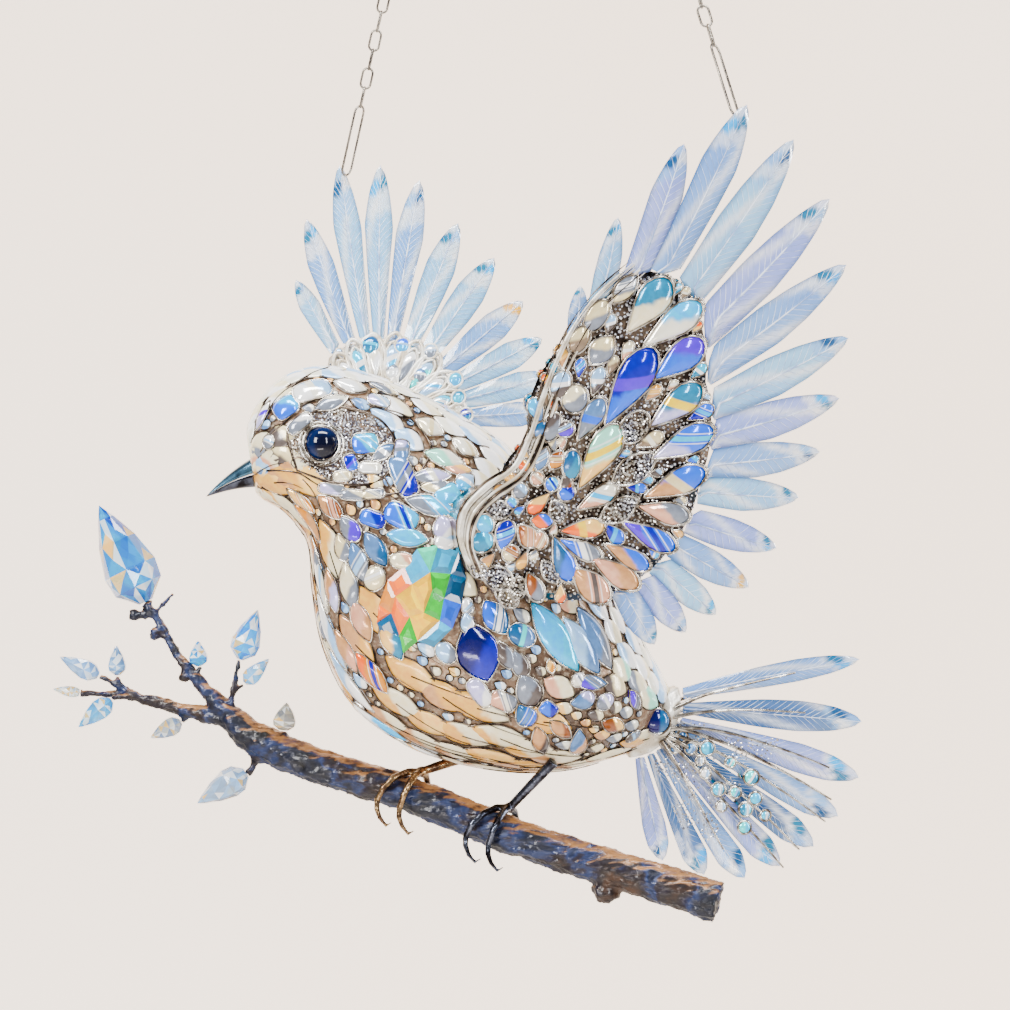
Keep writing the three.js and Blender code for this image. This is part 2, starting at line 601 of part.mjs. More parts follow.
// The beak: an oval cone with a ridge, seated against the flat of the face
function buildBeak(bird) {
  const { at, out } = facePlane();
  const base = at.clone().addScaledVector(out, SEAT_GAP);
  const droop = radians(BEAK_DROOP);
  const tip = base.clone().add(
    new THREE.Vector3(-Math.cos(droop) * BEAK_LENGTH, -BEAK_SIDE, -Math.sin(droop) * BEAK_LENGTH),
  );
  const side = new THREE.Vector3(0, 1, 0).addScaledVector(out, -out.y).normalize();
  const up = out.clone().cross(side).normalize();
  const { back, belly, half: wide } = bodyRows(BODY_ROWS)[0];
  const tall = back.distanceTo(belly) / 2;
  const rings = [0, 0.25, 0.5, 0.75, 0.97].map((s) => {
    const centre = base.clone().lerp(tip, s).addScaledVector(up, tall * 0.5 * s * (1 - s));
    return Array.from({ length: 10 }, (_, k) => {
      const turn = (2 * Math.PI * k) / 10;
      const taper = (1 - s) ** 0.8 * 0.92 + 0.02;
      return centre
        .clone()
        .addScaledVector(side, Math.cos(turn) * wide * taper)
        .addScaledVector(up, Math.sin(turn) * tall * taper);
    });
  });
  addMesh(bird, "beak", loft(rings), materials.steel);
}

// Centre of the eye on one side, sunk below the skin of the cheek
function eyePlace(side) {
  const rows = bodyRows(BODY_ROWS);
  const place = EYE_ALONG * BODY_ROWS;
  const [before, after] = [rows[Math.floor(place)], rows[Math.floor(place) + 1]];
  const back = before.back.clone().lerp(after.back, place % 1);
  const belly = before.belly.clone().lerp(after.belly, place % 1);
  const half = THREE.MathUtils.lerp(before.half, after.half, place % 1);
  const skin = half * Math.sqrt(1 - (2 * EYE_HEIGHT - 1) ** 2);
  return belly.lerp(back, EYE_HEIGHT).add(new THREE.Vector3(0, side * (skin - EYE_SOCKET_DEPTH), 0));
}

function ball(centre, radius) {
  const sphere = new THREE.SphereGeometry(radius, 12, 6);
  sphere.rotateX(Math.PI / 2);
  sphere.translate(centre.x, centre.y, centre.z);
  return solidFrom(sphere);
}

// Branch with its twigs and knots
function branchLine() {
  return new THREE.CatmullRomCurve3(BRANCH_LINE.map(vector), false, "centripetal");
}

function branchRadiusAt(t) {
  const place = t * (BRANCH_TAPER.length - 1);
  const low = Math.min(Math.floor(place), BRANCH_TAPER.length - 2);
  return BRANCH_RADIUS * THREE.MathUtils.lerp(BRANCH_TAPER[low], BRANCH_TAPER[low + 1], place - low);
}

// How far along its line the branch reaches x, its line running towards -x
function branchPlace(x) {
  const curve = branchLine();
  let [low, high] = [0, 1];
  for (let i = 0; i < 20; i++) {
    const middle = (low + high) / 2;
    if (curve.getPoint(middle).x > x) low = middle;
    else high = middle;
  }
  return low;
}

function crystalAxis({ lean }) {
  return new THREE.Vector3(-Math.sin(radians(lean)), 0, Math.cos(radians(lean)));
}

function buildBranch(bird) {
  const rows = BRANCH_ROWS;
  const curve = branchLine();
  const main = Array.from({ length: rows + 1 }, (_, i) => curve.getPoint(i / rows));
  const parts = [solidFrom(rod(main, main.map((_, i) => branchRadiusAt(i / rows)), BRANCH_SIDES))];
  const left = LEFT_TWIG_LINE.map(vector);
  parts.push(solidFrom(rod(left, LEFT_TWIG_TAPER.map((share) => share * BRANCH_RADIUS), 7)));
  for (const crystal of TWIG_CRYSTALS) {
    const seat = vector(crystal.seat).addScaledVector(crystalAxis(crystal), -SEAT_GAP);
    const from = vector(crystal.from);
    const below = seat.clone().addScaledVector(crystalAxis(crystal), -crystal.twig);
    const radii = [crystal.twig * 1.25, crystal.twig, crystal.twig * 1.2];
    parts.push(solidFrom(rod([from, below, seat], radii, 5)));
  }
  const stub = [vector(STUB.from), vector(STUB.to)];
  parts.push(solidFrom(rod(stub, [STUB.radius, STUB.radius * 0.8], 5)));
  for (const [place, share] of KNOTS) {
    const knot = new THREE.SphereGeometry(BRANCH_RADIUS * share, 7, 4);
    knot.translate(...place);
    parts.push(solidFrom(knot));
  }
  addMesh(bird, "branch", geometryFrom(largestOf(joined(parts))), materials.branch);
}

// A drop crystal turned about its axis, narrow at the seat and pointed at the tip
function buildCrystals(bird) {
  const profile = [[0, 0], [0.5, 0], [0.92, 0.16], [1, 0.34], [0.72, 0.62], [0.3, 0.86], [0, 1]];
  for (const crystal of TWIG_CRYSTALS) {
    const seatRadius = Math.min(crystal.twig * 1.2, crystal.width * 0.35);
    const outline = profile.map(([r, z]) => {
      const radius = r === 0.5 ? seatRadius : (r * crystal.width) / 2;
      return new THREE.Vector2(radius, z * crystal.length);
    });
    const drop = new THREE.LatheGeometry(outline, crystal.sides);
    drop.rotateX(Math.PI / 2);
    drop.rotateY(-radians(crystal.lean));
    drop.translate(...crystal.seat);
    addMesh(bird, crystal.name, drop, materials.crystal);
  }
}

// One leg with two front toes, a hind toe and claws, closed round the branch
function buildLeg(bird, leg, bodyRoom) {
  const curve = branchLine();
  const foot = branchPlace(leg.ankle);
  const centre = curve.getPoint(foot);
  const along = curve.getTangent(foot).normalize();
  const towardViewer = new THREE.Vector3(0, -1, 0).addScaledVector(along, along.y).normalize();
  const top = along.clone().cross(towardViewer).normalize();
  if (top.z < 0) top.negate();
  const reach = branchRadiusAt(foot) + TOE_RADIUS * 1.1 + SEAT_GAP + 0.25;
  const around = (turn, shift) =>
    centre
      .clone()
      .addScaledVector(top, Math.cos(radians(turn)) * reach)
      .addScaledVector(towardViewer, Math.sin(radians(turn)) * reach)
      .addScaledVector(along, -shift);
  const ankle = around(0, 0);
  const hip = vector(leg.hip).multiplyScalar(BODY_LENGTH);
  const parts = [solidFrom(rod([hip, ankle], [LEG_RADIUS * 1.25, LEG_RADIUS], 8))];
  const knuckle = new THREE.SphereGeometry(LEG_RADIUS * 1.35, 7, 4);
  knuckle.translate(ankle.x, ankle.y, ankle.z);
  parts.push(solidFrom(knuckle));
  const toe = (spread, last) => {
    const turns = [0, 0.25, 0.5, 0.75, 1];
    const points = turns.map((t) => around(t * last, spread * Math.sin((Math.PI / 2) * t)));
    const radii = turns.map((t) => TOE_RADIUS * (1.1 - 0.25 * t));
    return { solid: solidFrom(rod(points, radii, 5)), end: points.at(-1) };
  };
  for (const spread of TOE_SPREADS) {
    const { solid, end } = toe(spread, TOE_WRAP);
    parts.push(solid);
    const points = CLAW_HOOK.map((p) => end.clone().add(vector(p).multiplyScalar(CLAW_DROP)));
    parts.push(solidFrom(rod(points, CLAW_RADII, 5)));
  }
  parts.push(toe(HIND_TOE_SPREAD, -HIND_TOE_WRAP).solid);
  const solid = joined(parts).subtract(bodyRoom);
  addMesh(bird, leg.name, geometryFrom(largestOf(solid)), materials.claw);
}

// A link in the x-y plane, long way along x, with half-round ends
function linkSolid(length, width, wire, rounds, sides) {
  const middle = (width - wire) / 2;
  const straight = length / 2 - wire / 2 - middle;
  const path = [];
  for (const end of [1, -1]) {
    for (let i = 0; i <= rounds; i++) {
      const turn = -Math.PI / 2 + (Math.PI * i) / rounds;
      const point = new THREE.Vector3(straight + Math.cos(turn) * middle, Math.sin(turn) * middle, 0);
      path.push(point.multiplyScalar(end));
    }
  }
  const rings = path.map((p, i) => {
    const [ahead, behind] = [path[(i + 1) % path.length], path.at(i - 1)];
    const along = ahead.clone().sub(behind).normalize();
    const inward = new THREE.Vector3(0, 0, 1).cross(along);
    return Array.from({ length: sides }, (_, k) => {
      const turn = (2 * Math.PI * k) / sides;
      return p.clone().addScaledVector(inward, (wire / 2) * Math.cos(turn)).setZ((wire / 2) * Math.sin(turn));
    });
  });
  return solidFrom(loft(rings, true));
}

// A chain from a feather's hole to the ring: a long link through the hole, then small links, each turned a
// quarter from the one before. The wires bite into each other where they touch, so the chain is one solid.
function buildChain(root, name, hole, bearing, normal) {
  const along = bearing.clone().sub(hole).normalize();
  const side = normal.clone().addScaledVector(along, -normal.dot(along)).normalize();
  const third = along.clone().cross(side);
  const place = (solid, at, turn) => {
    const across = side.clone().multiplyScalar(Math.cos(turn)).addScaledVector(third, Math.sin(turn));
    const basis = new THREE.Matrix4().makeBasis(along, across, along.clone().cross(across));
    return moved(solid, basis.setPosition(hole.clone().addScaledVector(along, at)));
  };
  const firstContact = BAR_LENGTH - 1.5 * BAR_WIRE + LINK_BITE / 2;
  // The end of a link is a right-angled V, which the ring's wire must clear on both sides
  const pastRing = (RING_WIRE / 2 + SEAT_GAP + LINK_WIRE / 2) * Math.SQRT2 - LINK_WIRE / 2;
  const lastContact = bearing.distanceTo(hole) + pastRing + LINK_BITE / 2;
  const pitch = LINK_LENGTH - 2 * LINK_WIRE + LINK_BITE;
  const count = Math.round((lastContact - firstContact) / pitch);
  const step = (lastContact - firstContact) / count;
  const link = linkSolid(step + 2 * LINK_WIRE - LINK_BITE, LINK_WIDTH, LINK_WIRE, 2, 3);
  const bar = linkSolid(BAR_LENGTH, BAR_WIDTH, BAR_WIRE, 3, 4);
  const parts = [place(bar, (BAR_LENGTH - BAR_WIRE) / 2, radians(BAR_TURN))];
  const ringAxis = new THREE.Vector3(0, 1, 0);
  const lastTurn = Math.atan2(ringAxis.dot(third), ringAxis.dot(side));
  for (let i = 0; i < count; i++) {
    const turn = i === count - 1 ? lastTurn : -Math.PI / 4 + (i * Math.PI) / 2;
    parts.push(place(link, firstContact + (i + 0.5) * step, turn));
  }
  addMesh(root, name, geometryFrom(joined(parts)), materials.chain);
}

function ringCentre() {
  return new THREE.Vector3(0, 0, -RING_INNER);
}

function buildRing(root) {
  const ring = new THREE.TorusGeometry(RING_INNER + RING_WIRE / 2, RING_WIRE / 2, 6, 20);
  ring.rotateX(Math.PI / 2);
  const centre = ringCentre();
  ring.translate(centre.x, centre.y, centre.z);
  addMesh(root, "hanging_ring", ring, materials.chain);
}

// Where the last link bears on the ring, on one side of its lowest point
function ringPoint(side) {
  const turn = radians(RING_LEG_ANGLE) * side;
  const reach = RING_INNER + RING_WIRE / 2;
  return ringCentre().add(new THREE.Vector3(Math.sin(turn) * reach, 0, -Math.cos(turn) * reach));
}

const suncatcher = new THREE.Group();
const bird = new THREE.Group();
bird.position.copy(bodyCentre);
bird.updateMatrix();
suncatcher.add(bird);

const bodyRoom = bodySolid(SEAT_GAP);
const eyes = [["eye_near", -1], ["eye_far", 1]];
let body = bodySolid();
for (const [, side] of eyes) body = body.subtract(ball(eyePlace(side), EYE_RADIUS + SEAT_GAP));
addMesh(bird, "body", geometryFrom(body), materials.bodyGlass);
for (const [name, side] of eyes) {
  addMesh(bird, name, geometryFrom(ball(eyePlace(side), EYE_RADIUS)), materials.eye);
}
buildBeak(bird);
const nearWing = buildNearWing(bird, bodyRoom);
const farWing = buildFarWing(bird, bodyRoom);
buildTail(bird, bodyRoom);
buildBranch(bird);
buildCrystals(bird);
for (const leg of LEGS) buildLeg(bird, leg, bodyRoom);

buildRing(suncatcher);
suncatcher.updateMatrixWorld(true);
for (const [name, wing, fan, bowSide, ringSide] of [
  ["chain_near", nearWing, nearFan, 1, 1],
  ["chain_far", farWing, farFan, -1, -1],
]) {
  const hole = holeIn(fan, fan.chainFeather, bowSide * FEATHER_BOW).applyMatrix4(wing.matrixWorld);
  const normal = new THREE.Vector3(0, 0, 1).transformDirection(wing.matrixWorld);
  buildChain(suncatcher, name, hole, ringPoint(ringSide), normal);
}

export default suncatcher;
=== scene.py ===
# %% [markdown]
# # A crystal bird suncatcher
# The real object is a small ornament of cut crystal and cast metal: a bird on a branch that hangs by two thin
# chains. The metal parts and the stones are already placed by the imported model, so this script loads that
# model first and dresses each of its pieces where it stands.

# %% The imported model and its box
import math

import bmesh
import bpy
import numpy as np
from mathutils import Matrix, Vector, noise
from mathutils.bvhtree import BVHTree


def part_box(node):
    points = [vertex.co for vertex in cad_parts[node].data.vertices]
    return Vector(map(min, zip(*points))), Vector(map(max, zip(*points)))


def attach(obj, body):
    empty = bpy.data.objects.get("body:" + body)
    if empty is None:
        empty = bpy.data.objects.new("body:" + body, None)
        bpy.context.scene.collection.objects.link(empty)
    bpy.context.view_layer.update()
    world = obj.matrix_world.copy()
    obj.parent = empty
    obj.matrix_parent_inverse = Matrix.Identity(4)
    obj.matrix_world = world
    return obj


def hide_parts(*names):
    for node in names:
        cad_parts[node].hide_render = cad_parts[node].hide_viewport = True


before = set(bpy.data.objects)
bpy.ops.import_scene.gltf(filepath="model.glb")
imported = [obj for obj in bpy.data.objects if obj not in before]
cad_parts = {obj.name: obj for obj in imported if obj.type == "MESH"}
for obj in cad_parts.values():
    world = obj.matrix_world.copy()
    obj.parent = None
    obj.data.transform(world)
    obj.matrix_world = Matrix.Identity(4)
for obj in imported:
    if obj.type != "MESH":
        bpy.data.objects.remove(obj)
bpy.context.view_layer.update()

MM = 0.001

# %% [markdown]
# ## Camera
# The picture shows the bird from its left side, level with its middle. A long lens at about 0.7 m gives that
# view. Stones are placed by where they show in the picture, so a small function turns a place in the picture
# into a line of sight.

# %% Camera
PHOTO_PIXELS = 1010
CAMERA_PLACE = Vector((-2.75, -701.4, -277.0))
LENS = 100
SENSOR = 36
camera = bpy.data.objects.new("camera", bpy.data.cameras.new("camera"))
camera.location = CAMERA_PLACE * MM
camera.rotation_euler = (math.pi / 2, 0, 0)
camera.data.lens = LENS
camera.data.sensor_width = SENSOR
bpy.context.scene.collection.objects.link(camera)
bpy.context.scene.camera = camera


def sight(px, py):
    """Direction of the line of sight through a place in the picture."""
    half = PHOTO_PIXELS / 2
    reach = SENSOR / LENS / PHOTO_PIXELS
    return Vector(((px - half) * reach, 1.0, (half - py) * reach)).normalized()


# %% [markdown]
# ## Colours
# The stones have a coating that turns white light into blue, violet and orange, so most of them show two
# colours, and the cut ones have a painted highlight, a bright streak. Each stone carries its own three
# colours on its mesh, and one shader blends them over the stone's length.

# %% Palette
RICHNESS = 1.5  # how far a colour is pushed away from its own grey
DEPTH = 1.25  # the power that darkens it after that


def paint(code):
    """A colour given as the eye sees it, as the light values that a shader takes."""
    parts = [int(code[i : i + 2], 16) / 255 for i in (1, 3, 5)]
    light = [c / 12.92 if c <= 0.04045 else ((c + 0.055) / 1.055) ** 2.4 for c in parts]
    mean = sum(light) / 3
    return tuple(min(max(mean + (c - mean) * RICHNESS, 0.0), 1.0) ** DEPTH for c in light)


PALETTE = {
    name: paint(code)
    for name, code in dict(
        white="#ffffff", pearl="#f2f0e6", cream="#efe8d2", ivory="#e2d8bc", lilac="#cfcdea", rose="#d8b3a2",
        tan="#c3a184", amber="#cc9a62", honey="#f2d0a0", orange="#f68a12", yellow="#ffd400", brown="#8a5f45",
        sky="#74c3f2", blue="#1583de", deep="#0f3aa0", navy="#101d5e", teal="#128ba6", cyan="#12c4e2",
        aqua="#7fdfe0", mint="#b8e4d4", green="#12c878", violet="#7a57d2", grey="#8e939c", smoke="#66605e",
        fire_green="#00a24a", fire_cyan="#00a6c6", fire_teal="#005f7c", fire_yellow="#f4c400",
        fire_orange="#ea8a00", fire_mint="#58c0a4", fire_rose="#d8a070", fire_blue="#1e6fc0",
        slate="#7b93b4", ice="#b9d3ee", steel="#4b6f92", feather="#a8c2e4", mist="#bcc5ea", frost="#b9d8ee",
        gold="#dcb682", taupe="#8d8072",
    ).items()
}

# %% [markdown]
# ## Shader maths
# A material's maths reads best as plain expressions, so this class wraps a socket and turns an operator into
# a Math node. Every other node comes from one method.


# %% Nodes
MIX_INPUTS, MIX_OUTPUT = (0, 6, 7), 2


class Wire:
    """An output socket that can be added, multiplied and compared like a number."""

    def __init__(self, paints, socket):
        self.paints = paints
        self.socket = socket

    def maths(self, operation, *values):
        return self.paints.node("ShaderNodeMath", {"operation": operation}, *values)

    def __add__(self, other):
        return self.maths("ADD", self, other)

    __radd__ = __add__

    def __sub__(self, other):
        return self.maths("SUBTRACT", self, other)

    def __rsub__(self, other):
        return self.maths("SUBTRACT", other, self)

    def __mul__(self, other):
        return self.maths("MULTIPLY", self, other)

    __rmul__ = __mul__

    def absolute(self):
        return self.maths("ABSOLUTE", self)


class Paints:
    """The node tree of one material."""

    def __init__(self, name):
        self.material = bpy.data.materials.new(name)
        self.material.use_nodes = True
        self.tree = self.material.node_tree
        self.shader = self.tree.nodes["Principled BSDF"]

    def node(self, kind, settings=None, *values, output=0, **named):
        """A node of that kind; values go to its sockets in order, named ones by name."""
        node = self.tree.nodes.new(kind)
        for key, value in (settings or {}).items():
            if key == "stops":
                self.stops(node.color_ramp, value)
            else:
                setattr(node, key, value)
        for place, value in list(enumerate(values)) + list(named.items()):
            self.feed(node.inputs[place], value)
        return Wire(self, node.outputs[output])

    def stops(self, ramp, stops):
        while len(ramp.elements) < len(stops):
            ramp.elements.new(1.0)
        for element, (place, colour) in zip(ramp.elements, stops):
            element.position = place
            element.color = (*colour, 1.0)

    def feed(self, socket, value):
        if isinstance(value, Wire):
            self.tree.links.new(value.socket, socket)
        elif value is not None:
            size = len(socket.default_value) if hasattr(socket.default_value, "__len__") else 0
            socket.default_value = (*value, 1.0)[:size] if size else value

    def surface(self, **sockets):
        """Feeds sockets of the main shader, their names written with _ for a space."""
        self.material.cycles.emission_sampling = "NONE"
        for name, value in sockets.items():
            self.feed(self.shader.inputs[name.replace("_", " ")], value)
        return self.material

    def place(self):
        return self.node("ShaderNodeTexCoord", output="Object")

    def noise(self, scale, detail=3.0, distortion=0.0, output="Fac", place=None):
        values = dict(Vector=place or self.place(), Scale=scale, Detail=detail, Distortion=distortion)
        return self.node("ShaderNodeTexNoise", {}, output=output, **values)

    def attribute(self, name, output="Color"):
        return self.node("ShaderNodeAttribute", {"attribute_name": name}, output=output)

    def ramp(self, value, stops):
        return self.node("ShaderNodeValToRGB", {"stops": stops}, value)

    def step(self, value, low, high):
        """0 below low, 1 above high and smooth between them."""
        settings = {"interpolation_type": "SMOOTHSTEP"}
        return self.node("ShaderNodeMapRange", settings, value, low, high, 0.0, 1.0)

    def mix(self, share, first, second, blend="MIX"):
        """Two colours in one; a Mix node has its colour sockets after those for numbers and vectors."""
        node = self.tree.nodes.new("ShaderNodeMix")
        node.data_type = "RGBA"
        node.blend_type = blend
        for place, value in zip(MIX_INPUTS, (share, first, second)):
            self.feed(node.inputs[place], value)
        return Wire(self, node.outputs[MIX_OUTPUT])

    def bump(self, height, strength, distance):
        return self.node(
            "ShaderNodeBump", {}, Strength=strength, Distance=distance, Height=height, output="Normal"
        )


# %% [markdown]
# ## Finishes
# Cast silver, set stones, pearly enamel, clear feathers and dark branch metal each have one material. Values
# that are the same all over sit on the shader itself, and only colour, roughness, metal and bump change over
# a surface.


# %% Metals
def silver_finish(name, light, dark, rough, metal=1.0):
    """Old cast silver, bright where it is rubbed and brown in its hollows; here the two tones are mottled at
    random by a noise.
    """
    p = Paints(name)
    cloud = p.noise(260.0, 4.0)
    fine = p.noise(1600.0, 2.0)
    colour = p.mix(p.step(cloud, 0.38, 0.62), dark, light)
    return p.surface(
        Base_Color=colour, Metallic=metal, Roughness=rough + fine * 0.16,
        Normal=p.bump(fine, 0.25, 0.0001),
    )


silver = silver_finish("rubbed_silver", (0.74, 0.70, 0.63), (0.17, 0.14, 0.11), 0.14)
dark_wire = silver_finish("dark_wire", (0.17, 0.13, 0.10), (0.025, 0.018, 0.015), 0.16)
pale_wire = silver_finish("pale_wire", (0.93, 0.90, 0.82), (0.58, 0.50, 0.38), 0.22, 0.35)
gold_leg = silver_finish("leg_gold", (0.42, 0.27, 0.13), (0.09, 0.05, 0.03), 0.2)
dark_leg = silver_finish("leg_dark", (0.10, 0.11, 0.15), (0.012, 0.010, 0.012), 0.16)
chain_steel = silver_finish("chain_steel", (0.32, 0.29, 0.25), (0.10, 0.09, 0.08), 0.2)


# %% Stones
def stone_finish(name, cut, metal, rough, grain, glow=0.0):
    """Coated glass: two colours that meet along a slanted line, a painted highlight on cut stones, and a
    painted glow where glow is set.
    """
    p = Paints(name)
    lay = p.attribute("lay", "Vector")
    parts = p.node("ShaderNodeSeparateXYZ", {}, lay)
    along = parts
    across = Wire(p, parts.socket.node.outputs[1])
    own = Wire(p, parts.socket.node.outputs[2])
    cloud = p.noise(180.0, 2.0, 0.6)
    drift = along + across * 0.35 + (cloud - 0.5) * 0.5 + (own - 0.5) * 0.3
    body = p.mix(p.step(drift, 0.42, 0.6), p.attribute("main"), p.attribute("second"))
    # Painted highlight on cut stones: a streak in the accent colour and, on some stones, a thin white glint
    # beside it.
    slant = (along - 0.3 - own * 0.4 + across * (own - 0.45) * 0.9).absolute()
    painted_streak = (1.0 - p.step(slant, 0.07, 0.1)) * p.step(own, 0.48, 0.5) * cut
    glint = (1.0 - p.step((slant - 0.17).absolute(), 0.015, 0.03)) * p.step(own, 0.66, 0.67) * cut
    colour = p.mix(painted_streak, body, p.attribute("accent"))
    colour = p.mix(glint * 0.6, colour, (1.0, 1.0, 1.0))
    shade = p.step(p.noise(700.0, 2.0), 0.25, 0.75)
    colour = p.mix(0.18, colour, p.mix(shade, (0.25, 0.2, 0.2), (1.0, 1.0, 1.0)), "OVERLAY")
    sockets = dict(
        Base_Color=colour, Roughness=rough + cloud * 0.1, Metallic=metal, IOR=1.5,
        Coat_Weight=0.5, Coat_Roughness=0.03,
        Normal=p.bump(p.noise(420.0, 2.0), grain, 0.0003),
    )
    # Painted glow: the stone gives off its own colour as light, though it is no lamp.
    if glow:
        sockets.update(Emission_Color=colour, Emission_Strength=glow)
    return p.surface(**sockets)


# Set stones are cut, so they get the painted highlight; they and the rainbow stone also get a painted glow.
set_stone = stone_finish("set_stone", 1.0, 0.3, 0.08, 0.25, 0.12)
rainbow_glass = stone_finish("rainbow_glass", 0.0, 0.0, 0.06, 0.1, 0.12)
enamel = stone_finish("pearly_enamel", 0.0, 0.12, 0.16, 0.35)


# %% Clear feathers, drops and the eye
def clear_finish(name, tint, second, through, rough, glow=0.0):
    """See-through crystal, a little bluer in places."""
    p = Paints(name)
    cloud = p.noise(60.0, 2.0, 0.5)
    own = p.attribute("main")
    colour = p.mix(p.step(cloud, 0.35, 0.65), tint, second)
    colour = p.mix(1.0, colour, own, "MULTIPLY")
    sockets = dict(
        Base_Color=colour, Roughness=rough + cloud * 0.06, IOR=1.38, Transmission_Weight=through,
        Coat_Weight=0.6, Coat_Roughness=0.03, Normal=p.bump(p.noise(500.0, 2.0), 0.15, 0.0002),
    )
    if glow:
        sockets.update(Emission_Color=colour, Emission_Strength=glow)
    return p.surface(**sockets)


near_glass = clear_finish("near_feather_glass", (0.80, 0.88, 1.0), (1.0, 1.0, 1.0), 0.45, 0.08)
far_glass = clear_finish("far_feather_glass", (0.80, 0.92, 1.0), (1.0, 1.0, 1.0), 0.6, 0.04)
tail_glass = clear_finish("tail_feather_glass", (0.72, 0.84, 1.0), (1.0, 1.0, 1.0), 0.45, 0.06)
twig_glass = clear_finish("twig_crystal_glass", (0.80, 0.90, 1.0), (1.0, 1.0, 1.0), 0.5, 0.02)


def vein_finish():
    """The engraved lines of a feather, which catch the light."""
    p = Paints("feather_lines")
    cloud = p.noise(300.0, 2.0)
    colour = p.mix(p.step(cloud, 0.35, 0.6), (0.26, 0.36, 0.62), (0.80, 0.86, 0.98))
    return p.surface(Base_Color=colour, Roughness=0.2 + cloud * 0.1)


def eye_finish():
    p = Paints("eye_glass")
    cloud = p.noise(120.0, 2.0, 1.0)
    colour = p.mix(p.step(cloud, 0.4, 0.8), (0.0008, 0.0015, 0.010), (0.002, 0.012, 0.07))
    return p.surface(Base_Color=colour, Roughness=0.05 + cloud * 0.03, IOR=1.45)


def beak_finish():
    """Blued steel for the upper half, mottled at random between a dark and a lighter blue."""
    p = Paints("beak_blued_steel")
    cloud = p.noise(140.0, 3.0, 0.8)
    colour = p.mix(p.step(cloud, 0.4, 0.62), (0.012, 0.035, 0.06), (0.07, 0.17, 0.26))
    return p.surface(Base_Color=colour, Metallic=0.8, Roughness=0.14 + cloud * 0.15, Coat_Weight=0.25)


feather_lines = vein_finish()
eye_glass = eye_finish()
beak_steel = beak_finish()


# %% Branch metal
def branch_finish():
    """Dark metal with an oil film in blue and violet and bark worked into it; faces that point up have a
    painted gold highlight.
    """
    p = Paints("branch_metal")
    place = p.place()
    turned = p.node("ShaderNodeMapping", {}, place, Rotation=(0, 0.33, 0), Scale=(0.35, 1.0, 1.0), output=0)
    bark = p.noise(330.0, 6.0, 1.2, place=turned)
    cloud = p.noise(75.0, 3.0, 0.6, place=place)
    film = p.ramp(cloud + (bark - 0.5) * 0.25, [
        (0.30, (0.003, 0.003, 0.004)), (0.42, (0.005, 0.007, 0.020)), (0.49, (0.012, 0.024, 0.085)),
        (0.54, (0.010, 0.006, 0.015)), (0.60, (0.010, 0.005, 0.005)), (0.70, (0.055, 0.022, 0.008)),
    ])
    # Painted highlight: faces that point up are painted gold, as if lit from above, and the bark breaks up
    # its edge.
    up = p.node("ShaderNodeNewGeometry", output="Normal")
    rise = Wire(p, p.node("ShaderNodeSeparateXYZ", {}, up).socket.node.outputs[2])
    gold = p.step(rise + (bark - 0.5) * 1.6, 0.45, 1.0)
    colour = p.mix(gold, film, (0.36, 0.165, 0.055))
    return p.surface(
        Base_Color=colour, Metallic=0.4, Roughness=0.26 + bark * 0.25, Coat_Weight=0.2, Coat_Roughness=0.1,
        Normal=p.bump(bark, 0.7, 0.0009),
    )


branch_metal = branch_finish()


def bed_finish():
    """The ground between the stones: amber glass over brown metal, with fine pale flecks as painted
    highlights.
    """
    p = Paints("amber_bed")
    cloud = p.noise(90.0, 3.0, 0.4)
    fine = p.noise(900.0, 3.0)
    warm = p.mix(p.step(cloud, 0.35, 0.65), (0.09, 0.05, 0.03), (0.26, 0.15, 0.08))
    # Painted highlights: fine pale flecks, scattered at random by a fine noise.
    colour = p.mix(p.step(fine, 0.5, 0.75), warm, (0.50, 0.40, 0.28))
    return p.surface(
        Base_Color=colour, Roughness=0.18 + fine * 0.25, Metallic=0.35, Coat_Weight=0.5,
        Normal=p.bump(fine, 0.6, 0.0003),
    )


amber_bed = bed_finish()

# %% [markdown]
# ## Gathering shapes
# Hundreds of small stones are quickest to make as loose points and faces that are gathered in one list. The
# colours ride along as attributes of the points.


# %% Heap of shapes
class Heap:
    """Loose shapes in mm, gathered into one mesh with the values that their points carry."""

    def __init__(self, *names):
        self.points = []
        self.faces = []
        self.values = {name: [] for name in names}

    def add(self, points, faces, **values):
        start = len(self.points)
        self.points.extend(points)
        self.faces.extend([tuple(i + start for i in face) for face in faces])
        for name, held in self.values.items():
            given = values[name]
            single = not hasattr(given[0], "__len__") if hasattr(given, "__len__") else True
            held.extend([given] * len(points) if single else given)

    def mesh(self, name):
        mesh = bpy.data.meshes.new(name)
        mesh.from_pydata([tuple(Vector(p) * MM) for p in self.points], [], self.faces)
        for key, held in self.values.items():
            if hasattr(held[0], "__len__"):
                attribute = mesh.attributes.new(key, "FLOAT_VECTOR", "POINT")
                attribute.data.foreach_set("vector", np.array(held, np.float32).ravel())
            else:
                attribute = mesh.attributes.new(key, "FLOAT", "POINT")
                attribute.data.foreach_set("value", np.array(held, np.float32))
        return mesh


def cleaned(mesh, join=0.0, outward=True):
    """Points closer than join, in mm, are merged, and faces turned outwards."""
    shell = bmesh.new()
    shell.from_mesh(mesh)
    if join:
        bmesh.ops.remove_doubles(shell, verts=shell.verts, dist=join * MM)
    if outward:
        bmesh.ops.recalc_face_normals(shell, faces=shell.faces)
    shell.to_mesh(mesh)
    shell.free()
    return mesh


def merged(mesh):
    return cleaned(mesh, 0.004, outward=False)


